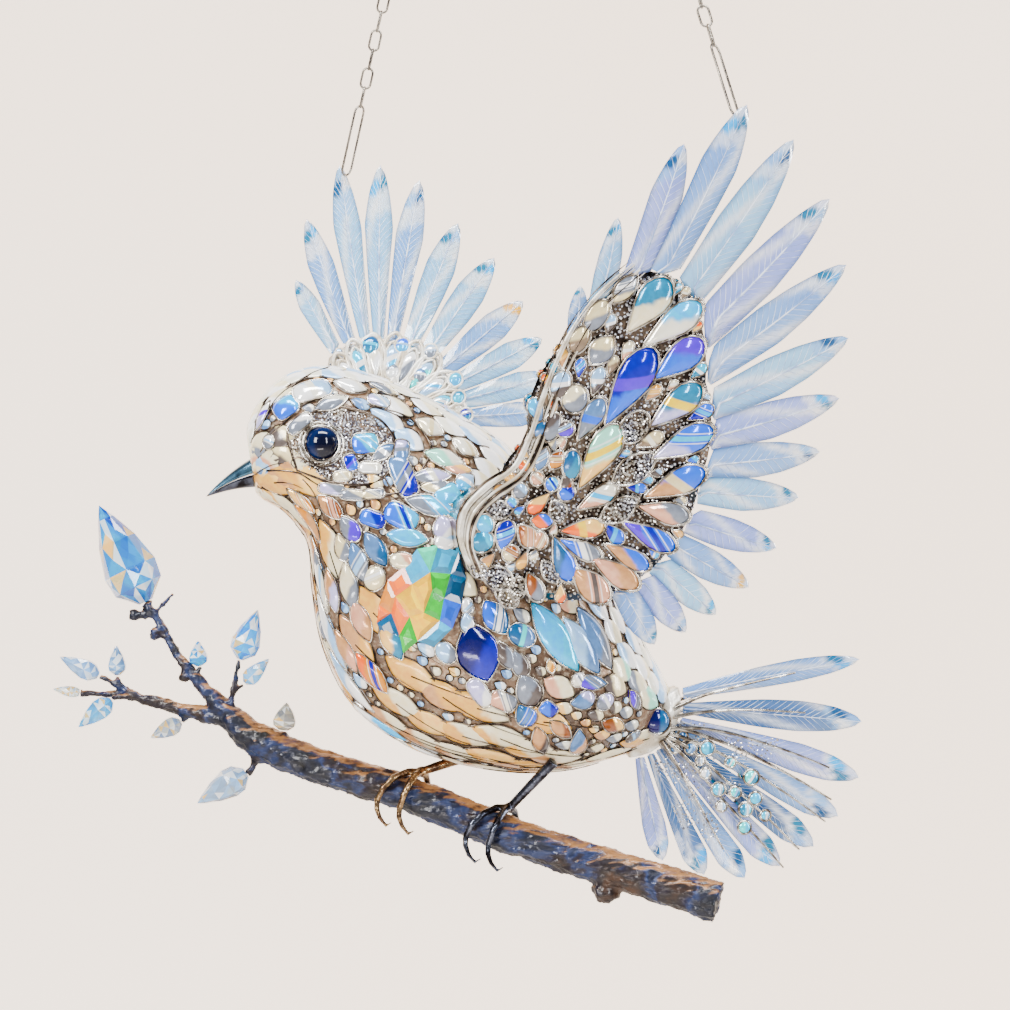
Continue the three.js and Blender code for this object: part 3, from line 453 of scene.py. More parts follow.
def loft(name, rings):
    """A closed skin over rings of points in mm, with a flat cap on both ends."""
    count = len(rings[0])
    faces = []
    for row in range(len(rings) - 1):
        for k in range(count):
            a, b = row * count + k, row * count + (k + 1) % count
            faces.append((a, b, b + count, a + count))
    faces.append(tuple(reversed(range(count))))
    faces.append(tuple(range((len(rings) - 1) * count, len(rings) * count)))
    mesh = bpy.data.meshes.new(name)
    mesh.from_pydata([tuple(Vector(point) * MM) for ring in rings for point in ring], [], faces)
    return cleaned(mesh)


def piece(name, mesh, material, smooth=True, replaces=()):
    """A finished piece of the bird: it rides with the model, and the nodes that it replaces are hidden."""
    obj = bpy.data.objects.new(name, mesh)
    bpy.context.scene.collection.objects.link(obj)
    if material:
        mesh.materials.clear()
        mesh.materials.append(material)
    mesh.polygons.foreach_set("use_smooth", [smooth] * len(mesh.polygons))
    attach(obj, "root")
    if replaces:
        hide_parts(*replaces)
    mesh.calc_loop_triangles()
    print(name, len(mesh.loop_triangles), "triangles")
    return obj


# %% [markdown]
# ## Wires, beads and sparkle by Geometry Nodes
# Every stone has a rim of wire, and there are rows of beads and patches of crushed crystal. A node tree
# for each of them means that a path or a patch is all that has to be drawn.


# %% Node trees
class Tree:
    """A Geometry Nodes tree with named inputs."""

    def __init__(self, name, **inputs):
        self.group = bpy.data.node_groups.new(name, "GeometryNodeTree")
        face = self.group.interface
        face.new_socket("Geometry", in_out="INPUT", socket_type="NodeSocketGeometry")
        for label, (kind, value) in inputs.items():
            socket = face.new_socket(label, in_out="INPUT", socket_type=kind)
            if value is not None:
                socket.default_value = value
        face.new_socket("Geometry", in_out="OUTPUT", socket_type="NodeSocketGeometry")
        self.given = self.group.nodes.new("NodeGroupInput")
        self.result = self.group.nodes.new("NodeGroupOutput")

    def node(self, kind, settings=None, **values):
        node = self.group.nodes.new(kind)
        for key, value in (settings or {}).items():
            setattr(node, key, value)
        for name, value in values.items():
            socket = node.inputs[name.replace("_", " ")]
            if isinstance(value, bpy.types.NodeSocket):
                self.group.links.new(value, socket)
            else:
                socket.default_value = value
        return node

    def finish(self, geometry):
        solid = self.node("GeometryNodeRealizeInstances", Geometry=geometry)
        coated = self.node(
            "GeometryNodeSetMaterial", Geometry=solid.outputs[0], Material=self.given.outputs["Material"]
        )
        self.group.links.new(coated.outputs[0], self.result.inputs[0])
        return self.group


def grow(name, mesh, group, **inputs):
    """Runs a tree on a mesh and gives the result as a plain mesh."""
    obj = bpy.data.objects.new(name, mesh)
    bpy.context.scene.collection.objects.link(obj)
    modifier = obj.modifiers.new(name, "NODES")
    modifier.node_group = group
    keys = {item.name: item.identifier for item in group.interface.items_tree if item.in_out == "INPUT"}
    for label, value in inputs.items():
        modifier[keys[label]] = value
    bpy.context.view_layer.update()
    held = obj.evaluated_get(bpy.context.evaluated_depsgraph_get())
    result = bpy.data.meshes.new_from_object(held)
    bpy.data.objects.remove(obj)
    return result


def wire_tree():
    """A round wire along every edge path, as thick as its points say."""
    tree = Tree("wire", Sides=("NodeSocketInt", 6), Material=("NodeSocketMaterial", None))
    curve = tree.node("GeometryNodeMeshToCurve", Mesh=tree.given.outputs["Geometry"])
    thick = tree.node("GeometryNodeInputNamedAttribute", {"data_type": "FLOAT"}, Name="thick")
    section = tree.node(
        "GeometryNodeCurvePrimitiveCircle", Resolution=tree.given.outputs["Sides"], Radius=1.0
    )
    tube = tree.node(
        "GeometryNodeCurveToMesh", Curve=curve.outputs[0], Profile_Curve=section.outputs[0],
        Scale=thick.outputs[0], Fill_Caps=True,
    )
    return tree.finish(tube.outputs[0])


def bead_tree():
    """A bead on every point, as large as the point says."""
    tree = Tree("bead", Roundness=("NodeSocketInt", 2), Material=("NodeSocketMaterial", None))
    spots = tree.node("GeometryNodeMeshToPoints", Mesh=tree.given.outputs["Geometry"])
    ball = tree.node("GeometryNodeMeshIcoSphere", Radius=1.0, Subdivisions=tree.given.outputs["Roundness"])
    size = tree.node("GeometryNodeInputNamedAttribute", {"data_type": "FLOAT"}, Name="size")
    beads = tree.node(
        "GeometryNodeInstanceOnPoints", Points=spots.outputs[0], Instance=ball.outputs[0],
        Scale=size.outputs[0]
    )
    return tree.finish(beads.outputs[0])


def sparkle_tree():
    """Crushed crystal over a patch: small cut chips, each turned its own way."""
    tree = Tree(
        "sparkle", Gap=("NodeSocketFloat", 0.7 * MM), Chip=("NodeSocketFloat", 0.36 * MM),
        Seed=("NodeSocketInt", 4), Material=("NodeSocketMaterial", None),
    )
    spots = tree.node(
        "GeometryNodeDistributePointsOnFaces", {"distribute_method": "POISSON"},
        Mesh=tree.given.outputs["Geometry"], Distance_Min=tree.given.outputs["Gap"],
        Density_Max=6.0e6, Seed=tree.given.outputs["Seed"],
    )
    chip = tree.node("GeometryNodeMeshIcoSphere", Radius=1.0, Subdivisions=1)
    turn = tree.node("FunctionNodeRandomValue", {"data_type": "FLOAT_VECTOR"}, Seed=3)
    turn.inputs["Max"].default_value = (6.3, 6.3, 6.3)
    size = tree.node("FunctionNodeRandomValue", {"data_type": "FLOAT"}, Seed=5)
    size.inputs[2].default_value = 0.6
    size.inputs[3].default_value = 1.25
    scaled = tree.node("ShaderNodeMath", {"operation": "MULTIPLY"})
    tree.group.links.new(size.outputs[1], scaled.inputs[0])
    tree.group.links.new(tree.given.outputs["Chip"], scaled.inputs[1])
    chips = tree.node(
        "GeometryNodeInstanceOnPoints", Points=spots.outputs[0], Instance=chip.outputs[0],
        Rotation=turn.outputs[0], Scale=scaled.outputs[0],
    )
    return tree.finish(chips.outputs[0])


WIRE = wire_tree()
BEAD = bead_tree()
SPARKLE = sparkle_tree()


class Paths:
    """Paths in mm that become wires."""

    def __init__(self):
        self.points = []
        self.edges = []
        self.thick = []

    def add(self, points, thick, closed=False):
        start = len(self.points)
        count = len(points)
        self.points.extend(points)
        self.edges.extend([(start + i, start + i + 1) for i in range(count - 1)])
        if closed:
            self.edges.append((start + count - 1, start))
        self.thick.extend(thick if hasattr(thick, "__len__") else [thick] * count)

    def wires(self, name, material, sides=6):
        mesh = bpy.data.meshes.new(name)
        mesh.from_pydata([tuple(Vector(p) * MM) for p in self.points], self.edges, [])
        attribute = mesh.attributes.new("thick", "FLOAT", "POINT")
        attribute.data.foreach_set("value", np.array(self.thick, np.float32) * MM)
        return grow(name, mesh, WIRE, Sides=sides, Material=material)


class Spots:
    """Places in mm that become beads."""

    def __init__(self):
        self.points = []
        self.size = []

    def add(self, point, size):
        self.points.append(point)
        self.size.append(size)

    def beads(self, name, material, roundness=2):
        mesh = bpy.data.meshes.new(name)
        mesh.from_pydata([tuple(Vector(p) * MM) for p in self.points], [], [])
        attribute = mesh.attributes.new("size", "FLOAT", "POINT")
        attribute.data.foreach_set("value", np.array(self.size, np.float32) * MM)
        return grow(name, mesh, BEAD, Roundness=roundness, Material=material)


# %% [markdown]
# ## The body's form
# The body is one smooth form from face to rump. Its sections run from a point on the back to a point on the
# throat or belly, the same ones that the solid model has, and a smooth curve through them gives the skin.

# %% Body sections
BODY_CENTRE = np.array([-6.5, 0.0, -303.3])
BODY_LENGTH = 98.4
# back along, back up, belly along, belly up, aside, half width: all in shares of the body's length
BODY_SECTIONS = np.array([
    [-0.581, 0.395, -0.576, 0.299, -0.132, 0.043],
    [-0.598, 0.464, -0.556, 0.283, -0.132, 0.084],
    [-0.546, 0.555, -0.508, 0.255, -0.132, 0.13],
    [-0.462, 0.604, -0.47, 0.213, -0.122, 0.16],
    [-0.352, 0.604, -0.445, 0.161, -0.102, 0.18],
    [-0.226, 0.564, -0.438, 0.048, -0.076, 0.21],
    [-0.083, 0.492, -0.412, -0.098, -0.046, 0.25],
    [0.043, 0.413, -0.33, -0.252, -0.01, 0.28],
    [0.172, 0.274, -0.164, -0.357, 0.02, 0.284],
    [0.278, 0.126, 0.024, -0.405, 0.046, 0.258],
    [0.361, -0.027, 0.194, -0.406, 0.071, 0.208],
    [0.422, -0.145, 0.332, -0.37, 0.091, 0.132],
    [0.457, -0.208, 0.392, -0.346, 0.107, 0.08],
])


def through(keys, share):
    """A smooth curve through rows of numbers, at a share of its length."""
    place = min(max(share, 0.0), 1.0) * (len(keys) - 1)
    low = min(int(place), len(keys) - 2)
    t = place - low
    a, b, c, d = (keys[min(max(low + i, 0), len(keys) - 1)] for i in (-1, 0, 1, 2))
    return 0.5 * (2 * b + (c - a) * t + (2 * a - 5 * b + 4 * c - d) * t * t + (3 * b - a - 3 * c + d) * t**3)


def body_point(share, turn):
    """A point of the skin: share runs from face to rump, turn from the far side over the back."""
    bx, bz, px, pz, aside, half = through(BODY_SECTIONS, share) * BODY_LENGTH
    back, belly = np.array([bx, aside, bz]), np.array([px, aside, pz])
    middle, up = (back + belly) / 2, (back - belly) / 2
    return BODY_CENTRE + middle + up * math.sin(turn) + np.array([0, half * math.cos(turn), 0])


SKIN_ROWS, SKIN_SIDES = 72, 56
skin_rings = [
    [body_point(row / SKIN_ROWS, 2 * math.pi * k / SKIN_SIDES) for k in range(SKIN_SIDES)]
    for row in range(SKIN_ROWS + 1)
]
body_skin = loft("body_skin", skin_rings)
piece("body_bed", body_skin, amber_bed, replaces=["body"])


class Carrier:
    """A surface that stones are laid on, in mm."""

    def __init__(self, mesh):
        points = [v.co / MM for v in mesh.vertices]
        self.tree = BVHTree.FromPolygons(points, [tuple(p.vertices) for p in mesh.polygons])

    def seen(self, px, py):
        """Where the line of sight through a place in the picture meets the surface."""
        hit, normal, _, _ = self.tree.ray_cast(CAMERA_PLACE, sight(px, py))
        return (hit, normal) if hit else (None, None)

    def behind(self, point):
        """The far side's twin of a point on the near side."""
        hit, normal, _, _ = self.tree.ray_cast(Vector((point.x, 300.0, point.z)), Vector((0, -1, 0)))
        return (hit, normal) if hit else (None, None)

    def snap(self, point):
        hit, normal, _, _ = self.tree.find_nearest(point)
        return hit, normal


body_carrier = Carrier(body_skin)

# %% [markdown]
# ## Stones and their rims
# A stone is an outline that is laid on the surface, with a wall, a sloping edge and a flat or domed top. The
# outline follows the curve of the body because each of its points is dropped on the skin.

# %% Outlines
OUTLINE_POINTS = 18


def leaf(u):
    return max(math.cos(math.pi * u), 0.0) ** 0.8


def drop(u):
    return max(math.cos(math.pi * u), 0.0) ** 0.62 * (0.62 + 0.76 * (u + 0.5))


def petal(u):
    """Pointed at the root and round at the tip."""
    return max(1 - (2 * u) ** 2, 0.0) ** 0.5 * min(0.25 + 1.15 * (u + 0.5), 1.05)


def oval(u):
    return math.sqrt(max(1 - 4 * u * u, 0.0))


def plate(u):
    return max(1 - abs(2 * u) ** 5, 0.0) ** 0.4


SHAPES = {"leaf": leaf, "drop": drop, "petal": petal, "oval": oval, "plate": plate}


def outline(shape, length, width, count=OUTLINE_POINTS):
    """Points of a shape, along and across, once round from its root."""
    half = count // 2
    steps = [-0.5 * math.cos(math.pi * i / half) for i in range(half + 1)]
    wide = SHAPES[shape]
    near = [(u * length, wide(u) * width / 2) for u in steps]
    return near + [(x, -y) for x, y in reversed(near[1:-1])]


def lay_stone(
    heap, rims, carrier, centre, normal, heading, shape, length, width, colours, crown, rim, own, lift=0.0
):
    """Lays one stone at a centre on the carrier and draws its rim."""
    along = heading - normal * heading.dot(normal)
    along.normalize()
    across = normal.cross(along)
    ring = outline(shape, length, width)
    wall = 0.25 + lift
    levels = [(1.0, -0.5), (1.0, wall), (0.86, wall + crown * 0.6), (0.5, wall + crown)]
    points, lay = [], []
    for share, height in levels + [(0.0, wall + crown * 1.12)]:
        for x, y in ring if share else [(0.0, 0.0)]:
            spot = centre + along * (x * share) + across * (y * share)
            hit, facing = carrier.snap(spot)
            points.append(hit + facing * height)
            lay.append((x * share / length + 0.5, 2 * y * share / width, own))
    count = len(ring)
    faces = []
    for level in range(len(levels) - 1):
        for i in range(count):
            here, side = level * count + i, level * count + (i + 1) % count
            faces.append((here, here + count, side + count, side))
    last = (len(levels) - 1) * count
    faces += [(last + i, len(points) - 1, last + (i + 1) % count) for i in range(count)]
    main, second, accent = (PALETTE[name] for name in colours)
    heap.add(points, faces, lay=lay, main=main, second=second, accent=accent)
    if rim:
        path = [centre + along * (x * 1.04) + across * (y * 1.04) for x, y in ring]
        laid = [carrier.snap(spot) for spot in path]
        rims.add([hit + facing * (wall + 0.07) for hit, facing in laid], rim, closed=True)


def new_stones():
    return Heap("lay", "main", "second", "accent")


# %% [markdown]
# ## The stones of the body that show in the picture
# Each line is one stone: its place in the picture, its heading in degrees from the right, its length and
# width in mm, its shape and its three colours. The far side has the same stones at the same places.

# %% Body stones, listed
BODY_STONES = [
    # crown
    (286, 408, 35, 6.2, 5.6, "plate", "blue sky blue"),
    (312, 391, 25, 9.4, 5.6, "plate", "white ice pearl"),
    (264, 416, 68, 7.6, 3.0, "leaf", "lilac white violet"),
    (350, 387, -8, 8.4, 4.4, "leaf", "white pearl cream"),
    (383, 390, -8, 7.6, 3.2, "leaf", "grey cream lilac"),
    (378, 402, -2, 5.6, 3.4, "plate", "lilac ice white"),
    (331, 404, 30, 8.8, 3.6, "leaf", "grey pearl ice"),
    (300, 424, 40, 6.6, 3.0, "plate", "grey white ice"),
    (280, 376, 40, 8.0, 3.0, "leaf", "pearl cream white"),
    (318, 368, 15, 9.0, 3.4, "leaf", "cream pearl white"),
    # face
    (365, 444, 8, 6.4, 5.0, "plate", "blue cyan sky"),
    (351, 463, -70, 4.2, 3.0, "plate", "deep blue violet"),
    (370, 468, 0, 5.4, 2.8, "plate", "white pearl ice"),
    (383, 453, 40, 6.6, 3.2, "leaf", "grey slate white"),
    (343, 476, 4, 4.6, 2.4, "plate", "cream ivory pearl"),
    (332, 489, -8, 6.6, 2.6, "plate", "lilac grey slate"),
    (353, 495, -4, 6.2, 2.4, "plate", "grey cream white"),
    (373, 494, 6, 5.6, 2.4, "plate", "ivory grey pearl"),
    (403, 476, -70, 10.6, 5.2, "plate", "slate deep grey"),
    (401, 451, 80, 5.6, 3.6, "plate", "slate lilac grey"),
    (270, 442, 30, 3.4, 3.2, "oval", "grey white ice"),
    # nape and side of the neck
    (429, 428, -20, 7.4, 5.2, "leaf", "cream pearl ivory"),
    (464, 448, -28, 7.6, 4.8, "leaf", "pearl cream ivory"),
    (444, 459, -8, 10.4, 4.8, "leaf", "mint pearl cream"),
    (431, 477, 8, 9.6, 3.8, "leaf", "grey lilac pearl"),
    (436, 487, 4, 8.0, 3.4, "leaf", "ivory grey cream"),
    (457, 470, 4, 7.4, 3.0, "leaf", "rose honey pearl"),
    (464, 483, 40, 6.2, 4.6, "leaf", "sky ice white"),
    (447, 495, 30, 6.8, 4.8, "plate", "sky cyan ice"),
    (431, 506, -12, 12.6, 4.8, "leaf", "grey sky cyan"),
    (401, 517, -28, 8.6, 5.4, "plate", "blue sky deep"),
    (407, 537, -8, 10.0, 4.6, "leaf", "sky cyan ice"),
    (373, 519, -20, 6.4, 3.8, "plate", "blue deep sky"),
    (444, 530, -80, 7.4, 5.4, "leaf", "lilac white ice"),
    (445, 541, 30, 5.6, 4.8, "oval", "white ice pearl"),
    # front of the neck
    (331, 507, -40, 8.4, 4.2, "leaf", "tan brown rose"),
    (350, 528, -52, 7.4, 4.4, "drop", "grey violet slate"),
    (343, 547, -72, 6.8, 4.0, "drop", "ivory grey white"),
    (359, 562, -72, 10.4, 4.8, "leaf", "slate grey ice"),
    (376, 549, -58, 9.6, 4.8, "leaf", "slate steel ice"),
    (375, 578, 70, 6.2, 5.2, "oval", "ivory cream white"),
    (350, 586, -84, 11.6, 5.0, "leaf", "cream grey ivory"),
    (403, 561, -10, 6.4, 4.0, "oval", "cream rose white"),
    (333, 590, -84, 11.0, 4.4, "leaf", "tan lilac rose"),
    (318, 560, -78, 12.6, 3.4, "leaf", "tan grey rose"),
    (312, 520, -52, 12.0, 3.6, "leaf", "amber tan honey"),
    (302, 500, -42, 9.0, 3.2, "leaf", "honey amber ivory"),
    (322, 620, -82, 10.0, 4.0, "drop", "tan grey cream"),
    # breast, round the rainbow stone
    (392, 640, -66, 10.4, 5.0, "leaf", "honey teal cream"),
    (362, 620, -72, 11.0, 5.0, "leaf", "rose tan honey"),
    (347, 650, -70, 12.0, 5.0, "leaf", "tan rose amber"),
    (333, 668, -66, 10.4, 3.2, "drop", "ice white sky"),
    (372, 672, -60, 12.6, 5.6, "leaf", "orange amber deep"),
    (478, 652, -72, 15.0, 10.4, "leaf", "navy deep orange"),
    (467, 606, -80, 4.2, 2.8, "oval", "white grey ice"),
    (467, 622, -80, 5.4, 3.4, "drop", "ice white grey"),
    (446, 652, -50, 6.0, 4.4, "oval", "ice grey white"),
    # flank
    (495, 617, -56, 9.4, 6.0, "leaf", "blue steel white"),
    (521, 635, -30, 7.2, 5.4, "oval", "steel slate aqua"),
    (505, 655, -58, 8.2, 4.0, "leaf", "smoke grey ivory"),
    (519, 663, -62, 7.4, 4.0, "drop", "grey smoke cream"),
    (555, 637, -50, 21.0, 7.6, "leaf", "sky cyan deep"),
    (581, 646, -48, 17.0, 6.8, "leaf", "ice slate sky"),
    (594, 638, -50, 18.0, 6.8, "leaf", "slate grey ice"),
    (577, 679, 0, 3.6, 3.6, "oval", "pearl white grey"),
    (550, 666, -70, 3.6, 2.2, "leaf", "honey amber yellow"),
    (528, 689, -66, 9.2, 6.2, "drop", "grey smoke ice"),
    (525, 714, -62, 7.0, 5.0, "drop", "steel blue slate"),
    (548, 708, -40, 4.8, 3.6, "plate", "blue deep sky"),
    (582, 700, 5, 6.6, 4.6, "drop", "slate lilac white"),
    (604, 701, 10, 5.2, 4.2, "oval", "grey lilac white"),
    (590, 682, -10, 9.4, 3.6, "leaf", "violet slate grey"),
    (480, 692, -58, 8.4, 4.0, "plate", "lilac white grey"),
    (503, 700, -30, 7.0, 4.6, "plate", "rose grey pearl"),
    (578, 741, -80, 9.0, 4.4, "drop", "slate tan grey"),
    (560, 728, -50, 8.0, 3.6, "leaf", "tan brown rose"),
    (540, 740, -76, 10.0, 4.0, "leaf", "tan smoke rose"),
    (612, 724, -30, 8.0, 4.0, "leaf", "brown honey amber"),
    (634, 700, -40, 7.0, 3.4, "leaf", "violet smoke grey"),
    (632, 735, 0, 4.4, 3.2, "oval", "smoke grey ice"),
    # clear rim of the breast
    (322, 578, -84, 17.0, 3.6, "leaf", "white pearl ice"),
    (331, 632, -74, 20.0, 4.4, "leaf", "white ice sky"),
    (350, 682, -62, 19.0, 5.0, "leaf", "ice white sky"),
    (380, 722, -44, 17.0, 5.4, "leaf", "white sky ice"),
    (418, 746, -24, 13.0, 4.2, "leaf", "pearl white honey"),
]
print(len(BODY_STONES), "stones laid by hand on each side of the body")


def heading_of(degrees):
    """A direction in the plane of the picture."""
    return Vector((math.cos(math.radians(degrees)), 0.0, math.sin(math.radians(degrees))))


class Places:
    """The places that stones already cover on the body, each a flat ellipse in space."""

    def __init__(self, most):
        self.rows = np.zeros((most, 11))
        self.count = 0

    def hold(self, centre, normal, heading, length, width):
        along = (heading - normal * heading.dot(normal)).normalized()
        self.rows[self.count] = (*centre, *along, length / 2, *normal.cross(along), width / 2)
        self.count += 1

    def free(self, point, room, first=None):
        """True where a stone that needs that room fits between the first so many places."""
        known = self.rows[: self.count if first is None else first]
        away = np.array(point) - known[:, 0:3]
        along = (away * known[:, 3:6]).sum(1) / (known[:, 6] + room)
        across = (away * known[:, 7:10]).sum(1) / (known[:, 10] + room)
        return not np.any(((away**2).sum(1) < 225.0) & (along**2 + across**2 < 1.0))


body_stones = new_stones()
body_rims = Paths()
rng = np.random.default_rng(11)
places = Places(6000)
for px, py, degrees, length, width, shape, colours in BODY_STONES:
    near, near_normal = body_carrier.seen(px, py)
    if near is None:
        continue
    own = float(rng.random())
    for centre, normal in ((near, near_normal), body_carrier.behind(near)):
        if centre is None:
            continue
        places.hold(centre, normal, heading_of(degrees), length, width)
        lay_stone(
            body_stones, body_rims, body_carrier, centre, normal, heading_of(degrees), shape,
            length, width, colours.split(), min(0.9, width * 0.16), 0.24, own, 0.3,
        )
print("stones on the body", len(body_stones.points))

# places kept free of cells: the rainbow stone, the face's glitter and the tail's round stone
for px, py, degrees, length, width in (
    (421, 596, 118, 24.0, 18.0), (344, 446, 0, 25.0, 17.0), (648, 722, 0, 8.0, 8.0)
):
    near, near_normal = body_carrier.seen(px, py)
    for centre, normal in ((near, near_normal), body_carrier.behind(near)):
        places.hold(centre, normal, heading_of(degrees), length, width)
by_hand = places.count

# %% [markdown]
# ## Scales that fill the rest
# Between the large stones the body is covered with small leaf-shaped cells, laid in rows like a bird's own
# feathers: pearl on the crown and the back, grey and silver on the flank, amber on the throat and the belly.
# Their rows follow the body's sections, and each row is shifted by half a cell. Three passes of smaller cells
# then fill the gaps.


# %% Fill
def triples(words):
    """Sets of three colours, written as words with commas between the sets."""
    return [tuple(part.split()) for part in words.split(",")]


CROWN_CELLS = triples("pearl white white, white cream cream, ice white lilac")
FLANK_CELLS = triples("grey cream pearl, smoke ivory cream, slate ice sky, cream mint ice, rose cream honey")
BELLY_CELLS = triples("tan gold honey, gold honey cream, gold cream honey, tan cream honey")


def cell_colours(turn, dice):
    """Colours of a cell by its place: turn is 90 on the back and 270 on the belly."""
    lift = math.sin(turn)
    if lift > 0.45 + 0.15 * dice:
        cells = CROWN_CELLS
    elif lift > -0.25:
        cells = FLANK_CELLS
    else:
        cells = BELLY_CELLS
    return cells[int(dice * len(cells))]


SCALE_ROWS = 26
fill_stones = new_stones()
fill_rims = Paths()
strokes = Paths()


def stroke(share, turn, length, bend):
    """A short dark line that runs back over the cells, as the shaft of a small feather does."""
    path = []
    for k in range(9):
        t = k / 8
        spot = Vector(body_point(min(share + length * t, 1.0), turn + bend * math.sin(math.pi * 0.5 * t)))
        hit, normal = body_carrier.snap(spot)
        path.append(hit + normal * 0.75)
    strokes.add(path, [0.19 * (1 - 0.7 * k / 8) for k in range(9)])


def lay_cell(share, turn, length, width, colours, crown, rim, own, shape, room, first=None):
    """One cell at a share of the body's length and a turn round it, where there is room."""
    here = Vector(body_point(share, turn))
    if not places.free(here, room, first):
        return False
    hit, normal = body_carrier.snap(here)
    heading = (Vector(body_point(min(share + 0.02, 1.0), turn)) - here).normalized()
    places.hold(hit, normal, heading, length, width)
    lay_stone(
        fill_stones, fill_rims, body_carrier, hit, normal, heading, shape, length, width, colours, crown,
        rim, own
    )
    return True


for row in range(1, SCALE_ROWS):
    share = row / SCALE_ROWS
    ring = [Vector(body_point(share, 2 * math.pi * k / 60)) for k in range(61)]
    girth = sum((b - a).length for a, b in zip(ring, ring[1:]))
    count = max(8, int(girth / 4.6))
    for k in range(count):
        turn = 2 * math.pi * (k + 0.5 * (row % 2) + 0.2 * (rng.random() - 0.5)) / count
        dice, own, size = rng.random(3)
        low = math.sin(turn) < -0.3
        if low and (row + k) % 2:
            continue
        length, width, crown = (14.0 + 4.0 * size, 7.4, 0.45) if low else (8.4 + 3.0 * size, 5.8, 0.4)
        colours = cell_colours(turn, dice)
        rim = 0.2 if low else 0.17
        put = lay_cell(share, turn, length, width, colours, crown, rim, float(own), "leaf", 1.1, by_hand)
        if put and low and size > 0.35:
            stroke(share, turn, 0.1 + 0.05 * dice, 0.25 * (own - 0.5))
SMALL_CELLS = triples(
    "grey pearl white, ice white sky, smoke cream ivory, honey cream white, slate ice white, tan honey cream"
)
for length, width, pitch in ((5.2, 3.2, 2.4), (3.2, 2.3, 1.7), (1.9, 1.7, 1.3)):
    for share in np.arange(0.03, 0.985, pitch / BODY_LENGTH):
        ring = [Vector(body_point(share, 2 * math.pi * k / 40)) for k in range(41)]
        girth = sum((b - a).length for a, b in zip(ring, ring[1:]))
        count = int(girth / pitch)
        for k in range(count):
            turn = 2 * math.pi * (k + rng.random() * 0.6) / count
            dice, own = rng.random(2)
            shape = "drop" if length > 3 else "oval"
            colours = SMALL_CELLS[int(dice * len(SMALL_CELLS))]
            lay_cell(share, turn, length, width, colours, width * 0.16, 0.15, float(own), shape, width * 0.42)
print("cells on the body", places.count)
piece("body_strokes", strokes.wires("body_strokes", dark_wire, 5), None)

# %% [markdown]
# ## The rainbow stone on the breast
# One large cut stone on the breast splits the light in green, yellow, orange and blue. Each of its facets is
# a small tile of its own colour, with its middle a little raised, so that each one glints by itself.

# %% Rainbow stone
FACETS = [
    ([(417, 549), (438, 545), (430, 572)], "fire_mint"),
    ([(438, 545), (458, 552), (450, 574), (430, 572)], "fire_cyan"),
    ([(458, 552), (466, 578), (450, 574)], "fire_teal"),
    ([(450, 574), (466, 578), (461, 604), (444, 598)], "fire_teal"),
    ([(430, 572), (450, 574), (444, 598), (432, 590)], "fire_green"),
    ([(417, 549), (430, 572), (412, 584), (404, 566)], "fire_cyan"),
    ([(404, 566), (412, 584), (396, 596), (388, 580)], "fire_orange"),
    ([(412, 584), (430, 572), (432, 590), (424, 612)], "fire_yellow"),
    ([(396, 596), (412, 584), (424, 612), (410, 616)], "fire_yellow"),
    ([(388, 580), (396, 596), (392, 612), (380, 604)], "fire_rose"),
    ([(396, 596), (410, 616), (400, 634), (392, 612)], "fire_orange"),
    ([(424, 612), (432, 590), (444, 598), (440, 620)], "fire_green"),
    ([(444, 598), (461, 604), (452, 628), (440, 620)], "fire_blue"),
    ([(410, 616), (424, 612), (440, 620), (418, 640)], "fire_yellow"),
    ([(440, 620), (452, 628), (434, 646), (418, 640)], "fire_cyan"),
    ([(392, 612), (400, 634), (386, 642), (378, 622)], "fire_teal"),
    ([(400, 634), (410, 616), (418, 640), (404, 652)], "fire_green"),
    ([(380, 604), (392, 612), (378, 622)], "fire_orange"),
]
rainbow = new_stones()
for corners, tone in FACETS:
    seen = [body_carrier.seen(*corner) for corner in corners]
    for far in (False, True):
        spots = [body_carrier.behind(hit) for hit, _ in seen] if far else seen
        points = [hit + normal * 0.9 for hit, normal in spots]
        middle = sum(points, Vector()) / len(points) + spots[0][1] * 0.55
        inner = [point.lerp(middle, 0.5) + spots[0][1] * 0.2 for point in points]
        base = [hit - normal * 0.4 for hit, normal in spots]
        tiles = [inner]
        for i in range(len(points)):
            side = (i + 1) % len(points)
            tiles += [
                [base[i], base[side], points[side], points[i]],
                [points[i], points[side], inner[side], inner[i]]
            ]
        for tile in tiles:
            corners_in_order = tuple(range(len(tile)))
            shade = 0.45 + 0.75 * float(rng.random())
            colour = tuple(min(c * shade, 1.0) for c in PALETTE[tone])
            rainbow.add(
                tile, [corners_in_order[::-1] if far else corners_in_order],
                lay=(0.1, 0.9, 0.2), main=colour, second=colour, accent=colour,
            )
piece("rainbow_stone", rainbow.mesh("rainbow_stone"), rainbow_glass, smooth=False)

piece("body_stones", body_stones.mesh("body_stones"), set_stone)
piece("body_scales", fill_stones.mesh("body_scales"), enamel)
piece("body_rims", body_rims.wires("body_rims", silver), None)
piece("body_scale_wires", fill_rims.wires("body_scale_wires", dark_wire, 5), None)

# %% [markdown]
# ## The fans of the wings and the tail
# Each wing is a flat fan: feathers spread from one centre, in a plane that leans and turns. The planes are
# the same as in the solid model, so a stone or a feather is placed by its angle and its distance from the
# centre.


